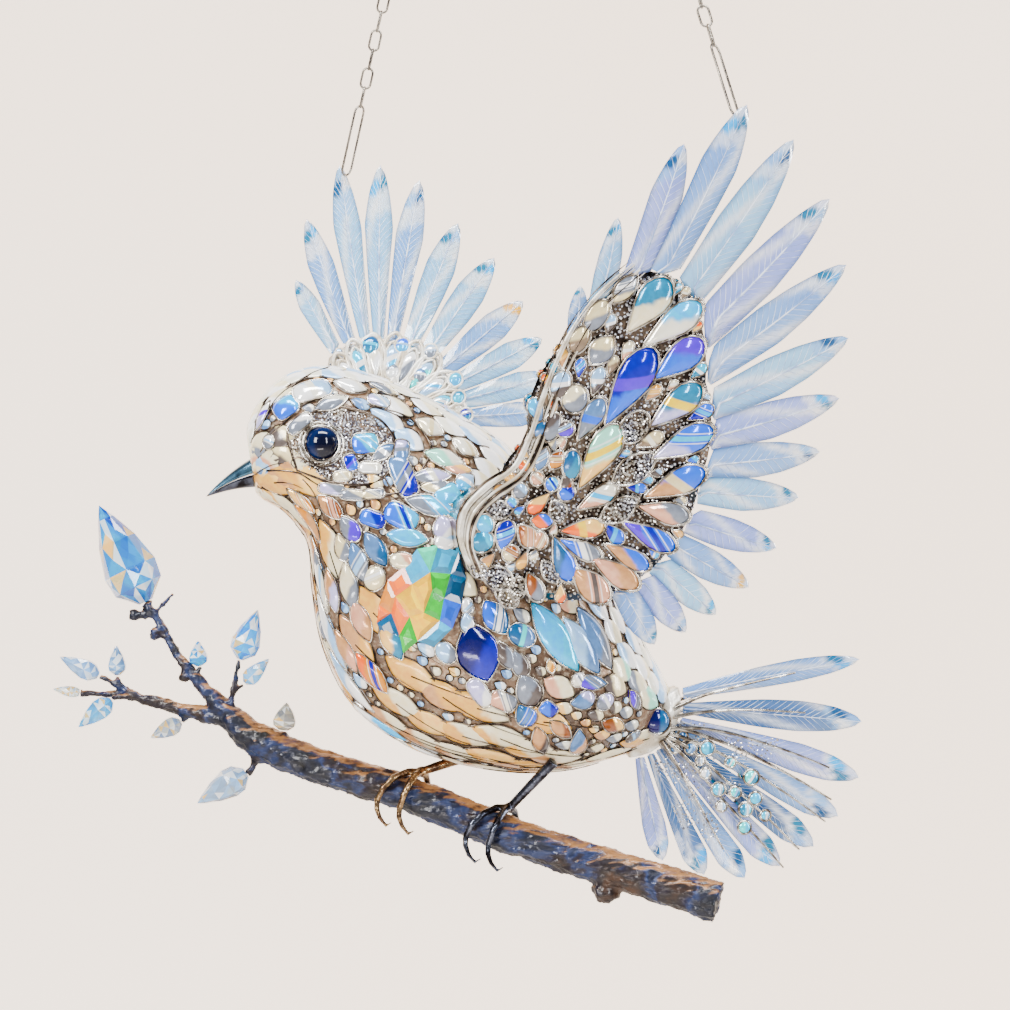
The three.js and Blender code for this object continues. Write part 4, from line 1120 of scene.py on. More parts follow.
# %% Fans
class Fan:
    """A plane with its origin at the centre of a fan, x level, y up the fan and z towards the viewer."""

    def __init__(self, centre, tilt, yaw):
        origin = Vector(BODY_CENTRE) + Vector(centre) * BODY_LENGTH
        turn = Matrix.Rotation(math.radians(yaw), 4, "Z") @ Matrix.Rotation(math.radians(90 + tilt), 4, "X")
        self.matrix = Matrix.Translation(origin) @ turn
        self.inverse = self.matrix.inverted()
        self.normal = (self.matrix.to_3x3() @ Vector((0, 0, 1))).normalized()

    def at(self, x, y, height=0.0):
        return self.matrix @ Vector((x, y, height))

    def polar(self, angle, reach, height=0.0):
        return self.at(math.cos(math.radians(angle)) * reach, math.sin(math.radians(angle)) * reach, height)

    def seen(self, px, py, height=0.0):
        """Where the line of sight through a place in the picture meets the fan, in the fan's own x and y."""
        point = self.at(0, 0, height)
        way = sight(px, py)
        share = (point - CAMERA_PLACE).dot(self.normal) / way.dot(self.normal)
        return self.inverse @ (CAMERA_PLACE + way * share)


near_fan = Fan((0.1707, -0.3455, 0.3272), 17, 14)
far_fan = Fan((-0.2947, 0.2236, 0.4766), -20, 14)
tail_fan = Fan((0.3547, 0.0813, -0.2449), 6, 12)


class Flat:
    """The front or the back of a plate, as a surface that stones are laid on."""

    def __init__(self, fan, height):
        self.fan = fan
        self.height = height
        self.facing = fan.normal * (1 if height > 0 else -1)

    def snap(self, point):
        local = self.fan.inverse @ point
        return self.fan.at(local.x, local.y, self.height), self.facing


# %% [markdown]
# ## Feathers
# A crystal feather is a thin lens with a raised quill and engraved barbs. Painted light rides in its colour:
# bands of painted sheen near the root, and at the tip a white painted highlight with a band of painted facet
# reflection.
# Its outline is read off the solid feather by slicing that across its length, so that each one keeps its
# place in the fan.

# %% Feather blades
BLADE_STEPS = 30
QUILL_THICK = 0.34
BARB_THICK = 0.07
BARB_PITCH = 2.1
# Tip colours: the first is the painted highlight, the other two the band of painted facet reflection.
TIP_COLOURS = [
    ("white", "teal", "sky"), ("white", "ice", "teal"), ("ice", "white", "steel"), ("white", "steel", "ice"),
    ("white", "sky", "teal"),
]


def slice_node(node, fan):
    """Edges of a CAD feather across its length: reach along it, and each edge's place across and height."""
    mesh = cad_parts[node].data
    points = np.array([fan.inverse @ (v.co / MM) for v in mesh.vertices])
    far = points[np.argmax((points[:, :2] ** 2).sum(1))]
    angle = math.atan2(far[1], far[0])
    along = np.array([math.cos(angle), math.sin(angle)])
    across = np.array([-math.sin(angle), math.cos(angle)])
    own = np.stack([points[:, :2] @ along, points[:, :2] @ across, points[:, 2]], 1)
    low, high = own[:, 0].min(), own[:, 0].max()
    rows = []
    for share in [0.02, 0.08, 0.16, 0.26, 0.36, 0.46, 0.56, 0.66, 0.76, 0.85, 0.92, 0.97]:
        reach = low + (high - low) * share
        cut = []
        for face in mesh.polygons:
            corners = own[list(face.vertices)]
            for a, b in zip(corners, np.roll(corners, -1, axis=0)):
                if (a[0] - reach) * (b[0] - reach) < 0:
                    cut.append(a + (b - a) * (reach - a[0]) / (b[0] - a[0]))
        cut = np.array(cut)
        left, right = cut[np.argmax(cut[:, 1])], cut[np.argmin(cut[:, 1])]
        rows.append([reach, left[1], left[2], right[1], right[2]])
    tip = [high, (rows[-1][1] + rows[-1][3]) / 2, rows[-1][2], (rows[-1][1] + rows[-1][3]) / 2, rows[-1][4]]
    return angle, np.array(rows + [tip])


def row_at(rows, share):
    """The slice at a share of the feather's length, between the slices that were taken."""
    reach = rows[0][0] + (rows[-1][0] - rows[0][0]) * share
    return [np.interp(reach, rows[:, 0], rows[:, i]) for i in range(5)]


def blade_point(fan, angle, rows, share, side, lift):
    """A point of the blade: side from -1 to 1 across it, lift above its middle."""
    reach, left, left_height, right, right_height = row_at(rows, share)
    t = (side + 1) / 2
    across = right + (left - right) * t
    height = right_height + (left_height - right_height) * t
    along = np.array([math.cos(angle), math.sin(angle)])
    spot = along * reach + np.array([-along[1], along[0]]) * across
    return fan.at(spot[0], spot[1], height + lift)


def blade_lift(share, side, thick):
    """Half the thickness of the lens."""
    return thick * (1 - 0.55 * share) * (1 - 0.92 * abs(side) ** 1.6) * (1 if share < 0.99 else 0.4)


def mixed(first, second, share):
    return tuple(a + (b - a) * share for a, b in zip(first, second))


def blade_colour(u, v, turn, root_colour, tips, tip_share):
    """Colour of a place on a blade: painted sheen at the root, a painted highlight and facet reflection at
    the tip, darker edges.
    """
    # Painted sheen: bright bands, mixed towards white, that stand for light glancing off the crystal.
    painted_sheen = max(math.sin(3.2 * v + 8.0 * u + turn), 0.0) ** 4
    if u + 0.05 * v < tip_share:
        tone = mixed(root_colour, PALETTE["white"], 0.85 * painted_sheen)
    # Painted facet reflection in a band near the tip; elsewhere on the tip the painted highlight.
    elif 0.85 < u + 0.04 * v < 0.93:
        tone = PALETTE[tips[1 if v < 0.15 else 2]]
    else:
        tone = mixed(PALETTE[tips[0]], root_colour, 0.35 * (1 - painted_sheen))
    return mixed(tone, PALETTE["steel"], 0.75 * max(abs(v) - 0.8, 0.0) / 0.2)


def add_feather(fan, node, heap, veins, thick, root_colour, tip_colours, tip_share):
    """One feather: its blade in the heap, its quill and barbs in the paths."""
    angle, rows = slice_node(node, fan)
    sides = [-1, -0.9, -0.7, -0.45, -0.2, 0, 0.2, 0.45, 0.7, 0.9, 1]
    steps = np.linspace(0.0, 1.0, BLADE_STEPS + 1)
    for face in (1, -1):
        points, colours = [], []
        for u in steps:
            for v in sides:
                points.append(blade_point(fan, angle, rows, u, v, face * blade_lift(u, v, thick)))
                colours.append(blade_colour(u, v, angle * 9, root_colour, tip_colours, tip_share))
        faces = []
        wide = len(sides)
        for i in range(BLADE_STEPS):
            for k in range(wide - 1):
                quad = (i * wide + k, i * wide + k + 1, (i + 1) * wide + k + 1, (i + 1) * wide + k)
                faces.append(quad if face > 0 else quad[::-1])
        heap.add(points, faces, main=colours)
    for face in (1, -1):
        spine = [blade_point(fan, angle, rows, u, 0, face * (blade_lift(u, 0, thick) + 0.02)) for u in steps]
        veins.add(spine, [QUILL_THICK * (1 - 0.75 * u) for u in steps])
        length = rows[-1][0] - rows[0][0]
        count = int(length / BARB_PITCH)
        for i in range(1, count):
            start = i / count * 0.92
            for side in (-1, 1):
                end = min(start + 0.09 + 0.05 * (1 - start), 0.985)
                path = []
                for t in (0.04, 0.35, 0.68, 0.94):
                    u = start + (end - start) * t**0.8
                    path.append(
                        blade_point(
                            fan, angle, rows, u, side * t, face * (blade_lift(u, side * t, thick) + 0.02)
                        )
                    )
                veins.add(path, [BARB_THICK, BARB_THICK, BARB_THICK * 0.9, BARB_THICK * 0.6])


# Feathers whose tips get a painted yellow glint in the band near the tip.
YELLOW_GLINT_TIPS = ("far_wing_feather_08", "near_wing_feather_13")


def dress_fan(label, fan, count, thick, glass, root_tones, tip_share):
    """Blades and lines for every feather of a fan."""
    for i in range(count):
        node = f"{label}_feather_{i + 1:02d}"
        heap, veins = Heap("main"), Paths()
        tone = root_tones[i % len(root_tones)]
        tips = TIP_COLOURS[(i * 3 + count) % len(TIP_COLOURS)]
        if node in YELLOW_GLINT_TIPS:
            tips = ("white", "fire_yellow", "honey")
        add_feather(fan, node, heap, veins, thick, PALETTE[tone], tips, tip_share)
        piece(node + "_blade", merged(heap.mesh(node + "_blade")), glass, replaces=[node])
        lines = veins.wires(node + "_lines", feather_lines, 3)
        piece(node + "_lines", lines, None)


dress_fan(
    "near_wing", near_fan, 16, 0.8, near_glass, ["feather", "frost", "mist"], 0.76
)
dress_fan(
    "far_wing", far_fan, 11, 0.95, far_glass, ["frost", "feather", "frost"], 0.72
)
dress_fan("tail", tail_fan, 9, 0.8, tail_glass, ["feather", "slate", "mist"], 0.82)

# %% [markdown]
# ## The near wing's coverts
# The inner half of the wing is a silver plate that is packed with long pointed stones in beaded settings,
# chips of crushed crystal and small round stones. The stones are laid by where they show in the picture, and
# the back of the plate has the same ones.

# %% The near wing's plate
NEAR_EDGE = [
    (-272, 36), (-230, 13), (-180, 15), (-145, 28), (-90, 30), (-50, 33), (0, 35), (36, 42), (60, 55),
    (74, 54), (88, 36),
]
FAR_EDGE = [
    (-238, 22), (-210, 12), (-180, 9), (-120, 12), (-75, 20), (-48, 24), (-20, 20), (5, 24), (60, 24),
    (110, 23), (122, 22),
]
PLATE_THICK = 2.4


def edge_reach(keys, angle):
    return float(np.interp(angle, [k[0] for k in keys], [k[1] for k in keys]))


def plate_mesh(name, fan, keys, thick, steps=96, rings=10):
    """A thin plate with a soft edge and an embossed face."""
    heap = Heap()
    angles = np.linspace(keys[0][0], keys[-1][0], steps, endpoint=False)
    for face in (1, -1):
        points = [fan.at(0, 0, face * thick / 2)]
        for ring in range(1, rings + 1):
            share = ring / rings
            lift = face * thick / 2 * (1 if ring < rings else 0.0)
            for angle in angles:
                reach = edge_reach(keys, angle) * share
                points.append(
                    fan.polar(angle, reach, lift + face * 0.12 * math.sin(angle * 0.9 + reach * 1.7))
                )
        faces = [(0, 1 + i, 1 + (i + 1) % steps) for i in range(steps)]
        for ring in range(rings - 1):
            for i in range(steps):
                a, b = 1 + ring * steps + i, 1 + ring * steps + (i + 1) % steps
                faces.append((a, a + steps, b + steps, b))
        heap.add(points, [f if face > 0 else f[::-1] for f in faces])
    return cleaned(merged(heap.mesh(name)), 0.3)


near_plate = plate_mesh("near_wing_plate", near_fan, NEAR_EDGE, PLATE_THICK)
piece("near_wing_plate", near_plate, dark_wire, replaces=["near_wing_frame"])
far_plate = plate_mesh("far_wing_plate", far_fan, FAR_EDGE, PLATE_THICK)
piece("far_wing_plate", far_plate, pale_wire, replaces=["far_wing_frame"])


def boss_mesh(name, fan, at, radius, depth, side):
    """The rounded joint between a wing and the body."""
    rows, count = 7, 28
    rings = []
    for row in range(rows):
        share = row / (rows - 1)
        ring = []
        for k in range(count):
            turn = 2 * math.pi * k / count
            reach = radius * (1 + 0.25 * share**2 + 0.03 * math.cos(7 * turn))
            ring.append(
                fan.at(at[0] + math.cos(turn) * reach, at[1] + math.sin(turn) * reach, side * depth * share)
            )
        rings.append(ring)
    return loft(name, rings)


piece(
    "near_wing_joint", boss_mesh("near_wing_joint", near_fan, (-15, -15), 8.2, 12, -1), silver,
)
piece(
    "far_wing_joint", boss_mesh("far_wing_joint", far_fan, (11, -12), 5.8, 13, 1), pale_wire,
)

# %% Near wing stones, listed
# place of the root and of the tip in the picture, width in mm, shape, colours, kind: stone or chips
NEAR_STONES = [
    (627, 331, 668, 279, 8.6, "petal", "cream teal ivory", "stone"),
    (643, 345, 700, 303, 7.6, "petal", "pearl sky cyan", "stone"),
    (653, 378, 702, 340, 8.0, "petal", "blue violet deep", "stone"),
    (650, 425, 700, 385, 7.6, "petal", "lilac teal yellow", "stone"),
    (652, 457, 712, 428, 7.4, "petal", "lilac blue cyan", "stone"),
    (644, 496, 704, 470, 7.2, "petal", "tan blue ivory", "stone"),
    (637, 505, 688, 517, 5.8, "petal", "rose grey honey", "stone"),
    (622, 521, 674, 548, 5.6, "petal", "violet blue deep", "stone"),
    (604, 543, 648, 567, 5.0, "petal", "tan blue sky", "stone"),
    (590, 556, 637, 586, 6.0, "petal", "rose tan cream", "stone"),
    (572, 568, 607, 600, 6.4, "drop", "tan rose smoke", "stone"),
    (605, 423, 652, 348, 9.4, "petal", "blue deep violet", "stone"),
    (577, 439, 602, 398, 5.6, "petal", "grey slate blue", "stone"),
    (578, 487, 618, 425, 8.0, "petal", "honey mint yellow", "stone"),
    (570, 479, 572, 449, 4.6, "oval", "teal steel cyan", "stone"),
    (577, 508, 616, 486, 5.0, "petal", "rose pearl sky", "stone"),
    (559, 530, 604, 526, 5.2, "petal", "orange honey yellow", "stone"),
    (612, 482, 655, 454, 6.8, "leaf", "slate smoke ice", "chips"),
    (599, 520, 637, 498, 5.8, "leaf", "steel slate ice", "chips"),
    (622, 440, 645, 412, 6.4, "oval", "slate violet ice", "chips"),
    (553, 535, 570, 580, 5.8, "petal", "steel blue tan", "stone"),
    (558, 538, 600, 557, 4.6, "petal", "blue grey white", "stone"),
    (590, 363, 612, 336, 6.0, "leaf", "grey ivory white", "stone"),
    (572, 412, 576, 384, 6.4, "oval", "grey cream white", "stone"),
    (562, 436, 566, 420, 4.6, "oval", "violet smoke ice", "stone"),
    (476, 527, 492, 519, 5.0, "oval", "sky cyan white", "stone"),
    (470, 541, 493, 540, 5.4, "oval", "teal cyan white", "stone"),
    (500, 549, 508, 519, 4.6, "drop", "blue deep sky", "stone"),
    (512, 492, 527, 488, 3.9, "oval", "grey ice white", "stone"),
    (544, 484, 558, 482, 3.7, "oval", "blue sky deep", "stone"),
    (558, 495, 574, 489, 4.1, "oval", "blue deep cyan", "stone"),
    (530, 479, 543, 476, 3.5, "oval", "rose tan pearl", "stone"),
    (506, 504, 516, 499, 3.0, "oval", "blue sky cyan", "stone"),
    (550, 468, 561, 450, 4.0, "leaf", "amber brown ivory", "stone"),
    (530, 519, 553, 521, 4.0, "leaf", "orange blue ice", "stone"),
    (518, 524, 535, 545, 4.6, "drop", "brown tan rose", "stone"),
    (536, 531, 541, 548, 4.0, "oval", "rose tan cream", "stone"),
    (502, 556, 518, 549, 4.2, "oval", "ivory brown tan", "stone"),
    (485, 571, 510, 583, 5.6, "oval", "steel blue ice", "chips"),
    (518, 576, 516, 598, 4.0, "oval", "steel teal ice", "chips"),
    (527, 572, 540, 600, 4.0, "drop", "brown grey cream", "stone"),
    (500, 592, 516, 604, 4.0, "oval", "violet smoke grey", "chips"),
    (542, 560, 556, 582, 3.6, "leaf", "rose smoke cream", "chips"),
    (534, 436, 546, 420, 3.4, "leaf", "slate steel ice", "stone"),
    (566, 470, 566, 500, 3.0, "leaf", "smoke brown tan", "stone"),
    (485, 508, 512, 510, 4.4, "leaf", "slate ice white", "chips"),
    (552, 500, 562, 520, 4.4, "leaf", "smoke deep violet", "chips"),
    (470, 560, 486, 578, 3.6, "leaf", "grey smoke ivory", "chips"),
    (586, 330, 606, 300, 5.0, "oval", "grey ivory white", "stone"),
    (556, 398, 564, 370, 5.0, "oval", "smoke ice white", "stone"),
    (546, 440, 556, 412, 4.4, "oval", "grey smoke ice", "stone"),
    (612, 302, 636, 274, 4.6, "leaf", "ivory grey white", "stone"),
    (536, 470, 546, 446, 3.6, "leaf", "slate grey ice", "stone"),
    (571, 352, 586, 326, 4.6, "oval", "taupe ivory ice", "stone"),
]
near_stones, near_rims, near_chips = new_stones(), Paths(), []
near_beads = Spots()
near_taken = []
for rx, ry, tx, ty, width, shape, colours, kind in NEAR_STONES:
    root, tip = near_fan.seen(rx, ry, 1.2), near_fan.seen(tx, ty, 1.2)
    near_taken.append((root.x, root.y, tip.x, tip.y, width))
    own = float(rng.random())
    for height in (PLATE_THICK / 2, -PLATE_THICK / 2):
        flat = Flat(near_fan, height)
        a, b = near_fan.at(root.x, root.y, height), near_fan.at(tip.x, tip.y, height)
        length = (b - a).length
        middle = (a + b) / 2
        target = near_stones if kind == "stone" else Heap("lay", "main", "second", "accent")
        lay_stone(
            target, near_rims, flat, middle, flat.facing, (b - a).normalized(), shape, length, width,
            colours.split(), width * 0.16 if kind == "stone" else 0.5, 0.36, own, 0.4,
        )
        if kind == "chips":
            near_chips.append(target)
        if height > 0 and length > 9:
            along = (b - a).normalized()
            across = flat.facing.cross(along)
            for k in range(9):
                x, y = outline(shape, length * 1.1, width * 1.14, 40)[16 + k]
                near_beads.add(middle + along * x + across * y + flat.facing * 0.5, 0.34)


SMALL_STONES = [
    "blue sky white", "teal cyan white", "tan gold honey", "grey ivory white", "smoke ice white",
    "honey orange yellow",
    "slate sky ice", "rose cream white", "deep blue sky", "taupe ivory pearl",
]
PALE_STONES = [
    "pearl white ice", "grey ice white", "ice white sky", "sky ice white", "cream pearl white",
    "lilac white ice"
]


def plate_free(held, x, y, length, width):
    """True where a small stone fits between those that are laid already."""
    for ax, ay, bx, by, wide in held:
        reach = math.hypot(bx - ax, by - ay)
        ux, uy = (bx - ax) / reach, (by - ay) / reach
        dx, dy = x - (ax + bx) / 2, y - (ay + by) / 2
        along, across = dx * ux + dy * uy, -dx * uy + dy * ux
        if (along / (reach / 2 + length * 0.42)) ** 2 + (across / (wide / 2 + width * 0.4)) ** 2 < 1.0:
            return False
    return True


def fill_plate(fan, keys, held, stones, rims, tones):
    """Small stones on both faces of a wing's plate, wherever the larger ones leave room."""
    for length, width in ((7.0, 4.0), (5.0, 3.0), (3.2, 2.2)):
        for reach in np.arange(5.0, 54.0, 2.3):
            for angle in np.arange(keys[0][0] + 6.0, keys[-1][0] - 2.0, 120.0 / reach):
                x, y = math.cos(math.radians(angle)), math.sin(math.radians(angle))
                inside = edge_reach(keys, angle) - length * 0.45
                if reach > inside or not plate_free(held, x * reach, y * reach, length, width):
                    continue
                root, tip = reach - length / 2, reach + length / 2
                held.append((x * root, y * root, x * tip, y * tip, width))
                colours = tones[int(rng.random() * len(tones))].split()
                own = float(rng.random())
                for height in (PLATE_THICK / 2, -PLATE_THICK / 2):
                    flat = Flat(fan, height)
                    centre = fan.at(x * reach, y * reach, height)
                    heading = (fan.at(x, y) - fan.at(0, 0)).normalized()
                    lay_stone(
                        stones, rims, flat, centre, flat.facing, heading, "petal", length, width,
                        colours, width * 0.16, 0.24, own, 0.1,
                    )


fill_plate(near_fan, NEAR_EDGE, near_taken, near_stones, near_rims, SMALL_STONES)
piece("near_wing_stones", near_stones.mesh("near_wing_stones"), set_stone)
piece("near_wing_rims", near_rims.wires("near_wing_rims", silver), None)
piece("near_wing_beads", near_beads.beads("near_wing_beads", silver), None)


def chip_finish():
    """Crushed crystal: each chip has its own tone, and many are bright."""
    p = Paints("crushed_crystal")
    cloud = p.noise(1500.0, 1.0)
    broad = p.noise(120.0, 1.0)
    colour = p.mix(p.step(cloud, 0.4, 0.6), (0.10, 0.10, 0.14), (0.85, 0.86, 0.90))
    colour = p.mix(p.step(broad, 0.5, 0.6) * 0.4, colour, (0.55, 0.45, 0.26))
    return p.surface(Base_Color=colour, Metallic=0.6, Roughness=0.1 + cloud * 0.1, Coat_Weight=0.6)


crushed = chip_finish()


def sparkle(name, heap, gap, chip, seed):
    """Chips of crushed crystal over the patches of a heap; the patches themselves are not kept."""
    chips = grow(name, heap.mesh(name), SPARKLE, Gap=gap * MM, Chip=chip * MM, Seed=seed, Material=crushed)
    return piece(name, chips, None, smooth=False)


for label, fan, keys, seed in (("near_wing", near_fan, NEAR_EDGE, 31), ("far_wing", far_fan, FAR_EDGE, 32)):
    ground = Heap()
    for face in (1, -1):
        angles = np.linspace(keys[0][0], keys[-1][0], 60, endpoint=False)
        rim = [fan.polar(a, edge_reach(keys, a) - 0.5, face * (PLATE_THICK / 2 + 0.1)) for a in angles]
        centre = [fan.at(0, 0, face * (PLATE_THICK / 2 + 0.1))]
        ground.add(centre + rim, [(0, 1 + i, 1 + (i + 1) % 60) for i in range(60)])
    sparkle(label + "_ground", ground, 0.85, 0.42, seed)
for i, heap in enumerate(near_chips[::2]):
    sparkle(f"near_wing_chips_{i + 1}", heap, 0.62, 0.4, i)

# %% [markdown]
# ## Pearly ribs of the wings
# The near wing's leading edge is a bundle of pale ribs that run up from the shoulder, like the stems of the
# feathers, and the far wing's root is a ring of looped white wires.

# %% Ribs and loops
near_ribs, near_ties = Paths(), Paths()
RIB_LINE = [
    (468, 566), (459, 540), (464, 512), (484, 490), (512, 470), (528, 440), (540, 404), (554, 366),
    (572, 330), (596, 298), (632, 266),
]
for strand in range(8):
    path = []
    for px, py in RIB_LINE:
        spot = near_fan.seen(px + strand * 2.1 - 2, py + strand * 1.7 - 5, 2.0)
        path.append(near_fan.at(spot.x, spot.y, 1.8 + 0.7 * math.sin(strand * 1.3)))
    smooth_path = [through(np.array(path), k / 60) for k in range(61)]
    full = 0.62 if strand % 3 else 0.42
    thick = [full * (1 - 0.75 * (k / 60) ** 0.8) + 0.08 * math.sin(k * 0.7 + strand) for k in range(61)]
    (near_ribs if strand % 3 else near_ties).add(smooth_path, thick)
piece("near_wing_ribs", near_ribs.wires("near_wing_ribs", pale_wire, 8), None)
piece("near_wing_ties", near_ties.wires("near_wing_ties", dark_wire, 8), None)

far_loops, far_stones = Paths(), new_stones()
FAR_PETALS = [(118, 20, 9), (104, 22, 9), (90, 23, 9), (76, 24, 9), (62, 24, 9), (48, 24, 9), (34, 23, 8.5),
              (20, 22, 8), (4, 20, 8), (-14, 18, 8), (-34, 20, 8)]
FAR_COLOURS = [
    "ice white sky", "teal cyan white", "white pearl ice", "sky ice white", "grey white ice", "aqua ice white"
]
for i, (angle, reach, width) in enumerate(FAR_PETALS):
    for side in (1, -1):
        flat = Flat(far_fan, side * PLATE_THICK / 2)
        for inner, outer, wide, thick in ((0.42, 1.08, 1.0, 0.55), (0.5, 0.98, 0.62, 0.3)):
            a = far_fan.polar(angle, reach * inner, flat.height)
            b = far_fan.polar(angle, reach * outer, flat.height)
            middle, along = (a + b) / 2, (b - a).normalized()
            across = flat.facing.cross(along)
            ring = outline("drop", (b - a).length, width * wide * 0.62, 24)
            far_loops.add(
                [middle + along * x + across * y + flat.facing * 0.7 for x, y in ring], thick, closed=True
            )
        a = far_fan.polar(angle, reach * 0.55, flat.height)
        b = far_fan.polar(angle, reach * 0.95, flat.height)
        lay_stone(
            far_stones, None, flat, (a + b) / 2, flat.facing, (b - a).normalized(), "drop", (b - a).length,
            width * 0.4, FAR_COLOURS[i % len(FAR_COLOURS)].split(), 1.1, 0, float(rng.random()),
        )
for px, py, size, colours in [
    (370, 346, 4.6, "teal steel cyan"), (402, 346, 3.6, "sky blue ice"), (430, 352, 3.4, "grey ice white"),
    (392, 372, 3.6, "white grey ice"), (420, 376, 3.6, "grey slate white"), (455, 380, 3.4, "sky cyan white"),
    (458, 398, 3.2, "cyan teal white"), (442, 412, 3.4, "white lilac ice"),
    (465, 416, 3.4, "teal deep white"),
]:
    spot = far_fan.seen(px, py, 1.6)
    for side in (1, -1):
        flat = Flat(far_fan, side * (PLATE_THICK / 2 + 0.4))
        centre = far_fan.at(spot.x, spot.y, flat.height)
        heading = (far_fan.polar(60, 1) - far_fan.at(0, 0)).normalized()
        lay_stone(
            far_stones, far_loops, flat, centre, flat.facing, heading, "oval", size * 1.25, size,
            colours.split(), 1.0, 0.4, float(rng.random()),
        )
far_taken = []
for angle, reach, width in FAR_PETALS:
    x, y = math.cos(math.radians(angle)) * reach, math.sin(math.radians(angle)) * reach
    far_taken.append((x * 0.45, y * 0.45, x, y, width * 0.7))
fill_plate(far_fan, FAR_EDGE, far_taken, far_stones, far_loops, PALE_STONES)
piece("far_wing_stones", far_stones.mesh("far_wing_stones"), set_stone)
piece("far_wing_loops", far_loops.wires("far_wing_loops", pale_wire, 8), None)

# %% [markdown]
# ## Head
# The eye is a dark blue cabochon in a thin setting, in a face of crushed crystal that a dark wire loops
# round. The beak is two pieces of blued steel with the gape between them.

# %% Eyes and face wires
face_wires = Paths()
EYE_LOOP = [(298, 470), (316, 477), (335, 483), (366, 485), (384, 477), (394, 461), (394, 441), (383, 424),
            (366, 414), (340, 408), (318, 411), (300, 422), (288, 434)]
CHEEK_WIRES = [
    ([(298, 470), (292, 462), (300, 457), (318, 466), (345, 474)], 0.24),
    ([(268, 470), (284, 470), (300, 473), (318, 484), (340, 494), (368, 498), (392, 494), (416, 494)], 0.34),
    ([(340, 480), (352, 468), (366, 456), (380, 444)], 0.22),
    ([(262, 452), (272, 436), (288, 420), (306, 404), (336, 396), (362, 404), (390, 414), (412, 424)], 0.26),
    ([(264, 424), (276, 402), (294, 386), (320, 372), (352, 366), (390, 374), (430, 392), (480, 424)], 0.3),
    ([(384, 477), (394, 492), (420, 512), (440, 522), (452, 560)], 0.3),
    ([(384, 410), (410, 420), (430, 446), (424, 466), (412, 480)], 0.24),
]


def draw(paths, line, thick, lift=0.45, closed=False, steps=40):
    """A wire along places in the picture, on the near side and its twin on the far side."""
    for far in (False, True):
        path = []
        for k in range(steps + (0 if closed else 1)):
            px, py = through(np.array(line + line[:1] if closed else line, float), k / steps)
            hit, normal = body_carrier.seen(px, py)
            if hit is not None and far:
                hit, normal = body_carrier.behind(hit)
            if hit is not None:
                path.append(hit + normal * lift)
        if len(path) > 3:
            paths.add(path, thick, closed=closed)


draw(face_wires, EYE_LOOP, 0.4, closed=True, steps=64)
for line, thick in CHEEK_WIRES:
    draw(face_wires, line, thick)
piece("face_wires", face_wires.wires("face_wires", dark_wire, 8), None)

EYE_SHIFT = 2.3  # mm from the solid eye back to where the picture has the eye
eye_rims = Paths()
for node, side in (("eye_near", -1), ("eye_far", 1)):
    low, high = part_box(node)
    centre, radius = (low + high) / 2 / MM, (high.x - low.x) / 2 / MM
    solid_hit, _ = body_carrier.snap(centre + Vector((0, side * 10, 0)))
    moved_hit, _ = body_carrier.snap(centre + Vector((EYE_SHIFT, side * 10, 0)))
    centre += moved_hit - solid_hit
    ball = bpy.data.meshes.new(node + "_cabochon")
    shell = bmesh.new()
    bmesh.ops.create_uvsphere(shell, u_segments=40, v_segments=24, radius=radius * MM)
    bmesh.ops.translate(shell, verts=shell.verts, vec=centre * MM)
    shell.to_mesh(ball)
    shell.free()
    piece(node + "_cabochon", ball, eye_glass, replaces=[node])
    for grown, thick in ((0.98, 0.42), (1.2, 0.26)):
        ring = []
        for turn in np.linspace(0, 2 * math.pi, 41)[:-1]:
            spot = centre + Vector(
                (math.cos(turn) * radius * grown, side * 3.0, math.sin(turn) * radius * grown)
            )
            hit, normal = body_carrier.snap(spot)
            ring.append(hit + normal * 0.4)
        eye_rims.add(ring, thick, closed=True)
piece("eye_settings", eye_rims.wires("eye_settings", silver, 8), None)

# %% Face chips
EYE_MIDDLE, EYE_CLEAR = (322, 443), 18
face_patch = Heap()
for py in range(404, 484, 3):
    for px in range(262, 398, 3):
        turn = np.array(EYE_LOOP, float)
        inside = False
        for (ax, ay), (bx, by) in zip(turn, np.roll(turn, -1, axis=0)):
            if (ay > py) != (by > py) and px < ax + (bx - ax) * (py - ay) / (by - ay):
                inside = not inside
        if not inside or math.dist((px, py), EYE_MIDDLE) < EYE_CLEAR:
            continue
        hit, normal = body_carrier.seen(px, py)
        if hit is None:
            continue
        for spot, facing in ((hit, normal), body_carrier.behind(hit)):
            right = Vector((1, 0, 0)) - facing * facing.x
            up = facing.cross(right)
            corners = [
                spot + right * x * 0.42 + up * y * 0.42 + facing * 0.3
                for x, y in ((-1, -1), (1, -1), (1, 1), (-1, 1))
            ]
            face_patch.add(corners, [(0, 1, 2, 3)])
sparkle("face_chips", face_patch, 0.42, 0.34, 9)


# %% Beak
def beak_mesh(name, low_turn, high_turn, scale_up):
    """One half of the beak, lofted from the face to the tip of the solid beak."""
    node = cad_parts["beak"].data
    points = np.array([v.co / MM for v in node.vertices])
    tip = points[np.argmin(points[:, 0])]
    base_points = points[points[:, 0] > points[:, 0].max() - 2.0]
    base = base_points.mean(0)
    tall = np.ptp(base_points[:, 2]) / 2 * 1.04
    wide = np.ptp(base_points[:, 1]) / 2 * 1.04
    rows, count = 16, 14
    rings = []
    for row in range(rows + 1):
        s = row / rows
        centre = base + (tip - base) * s + np.array([0, 0, tall * 0.5 * s * (1 - s) * 1.2])
        taper = (1 - s) ** 0.85 * 0.98 + 0.015
        ring = []
        for k in range(count):
            turn = math.radians(low_turn + (high_turn - low_turn) * k / (count - 1))
            y, z = math.cos(turn) * wide * taper, math.sin(turn) * tall * taper * scale_up
            ring.append(centre + np.array([0, y, z]))
        rings.append(ring)
    return loft(name, rings)


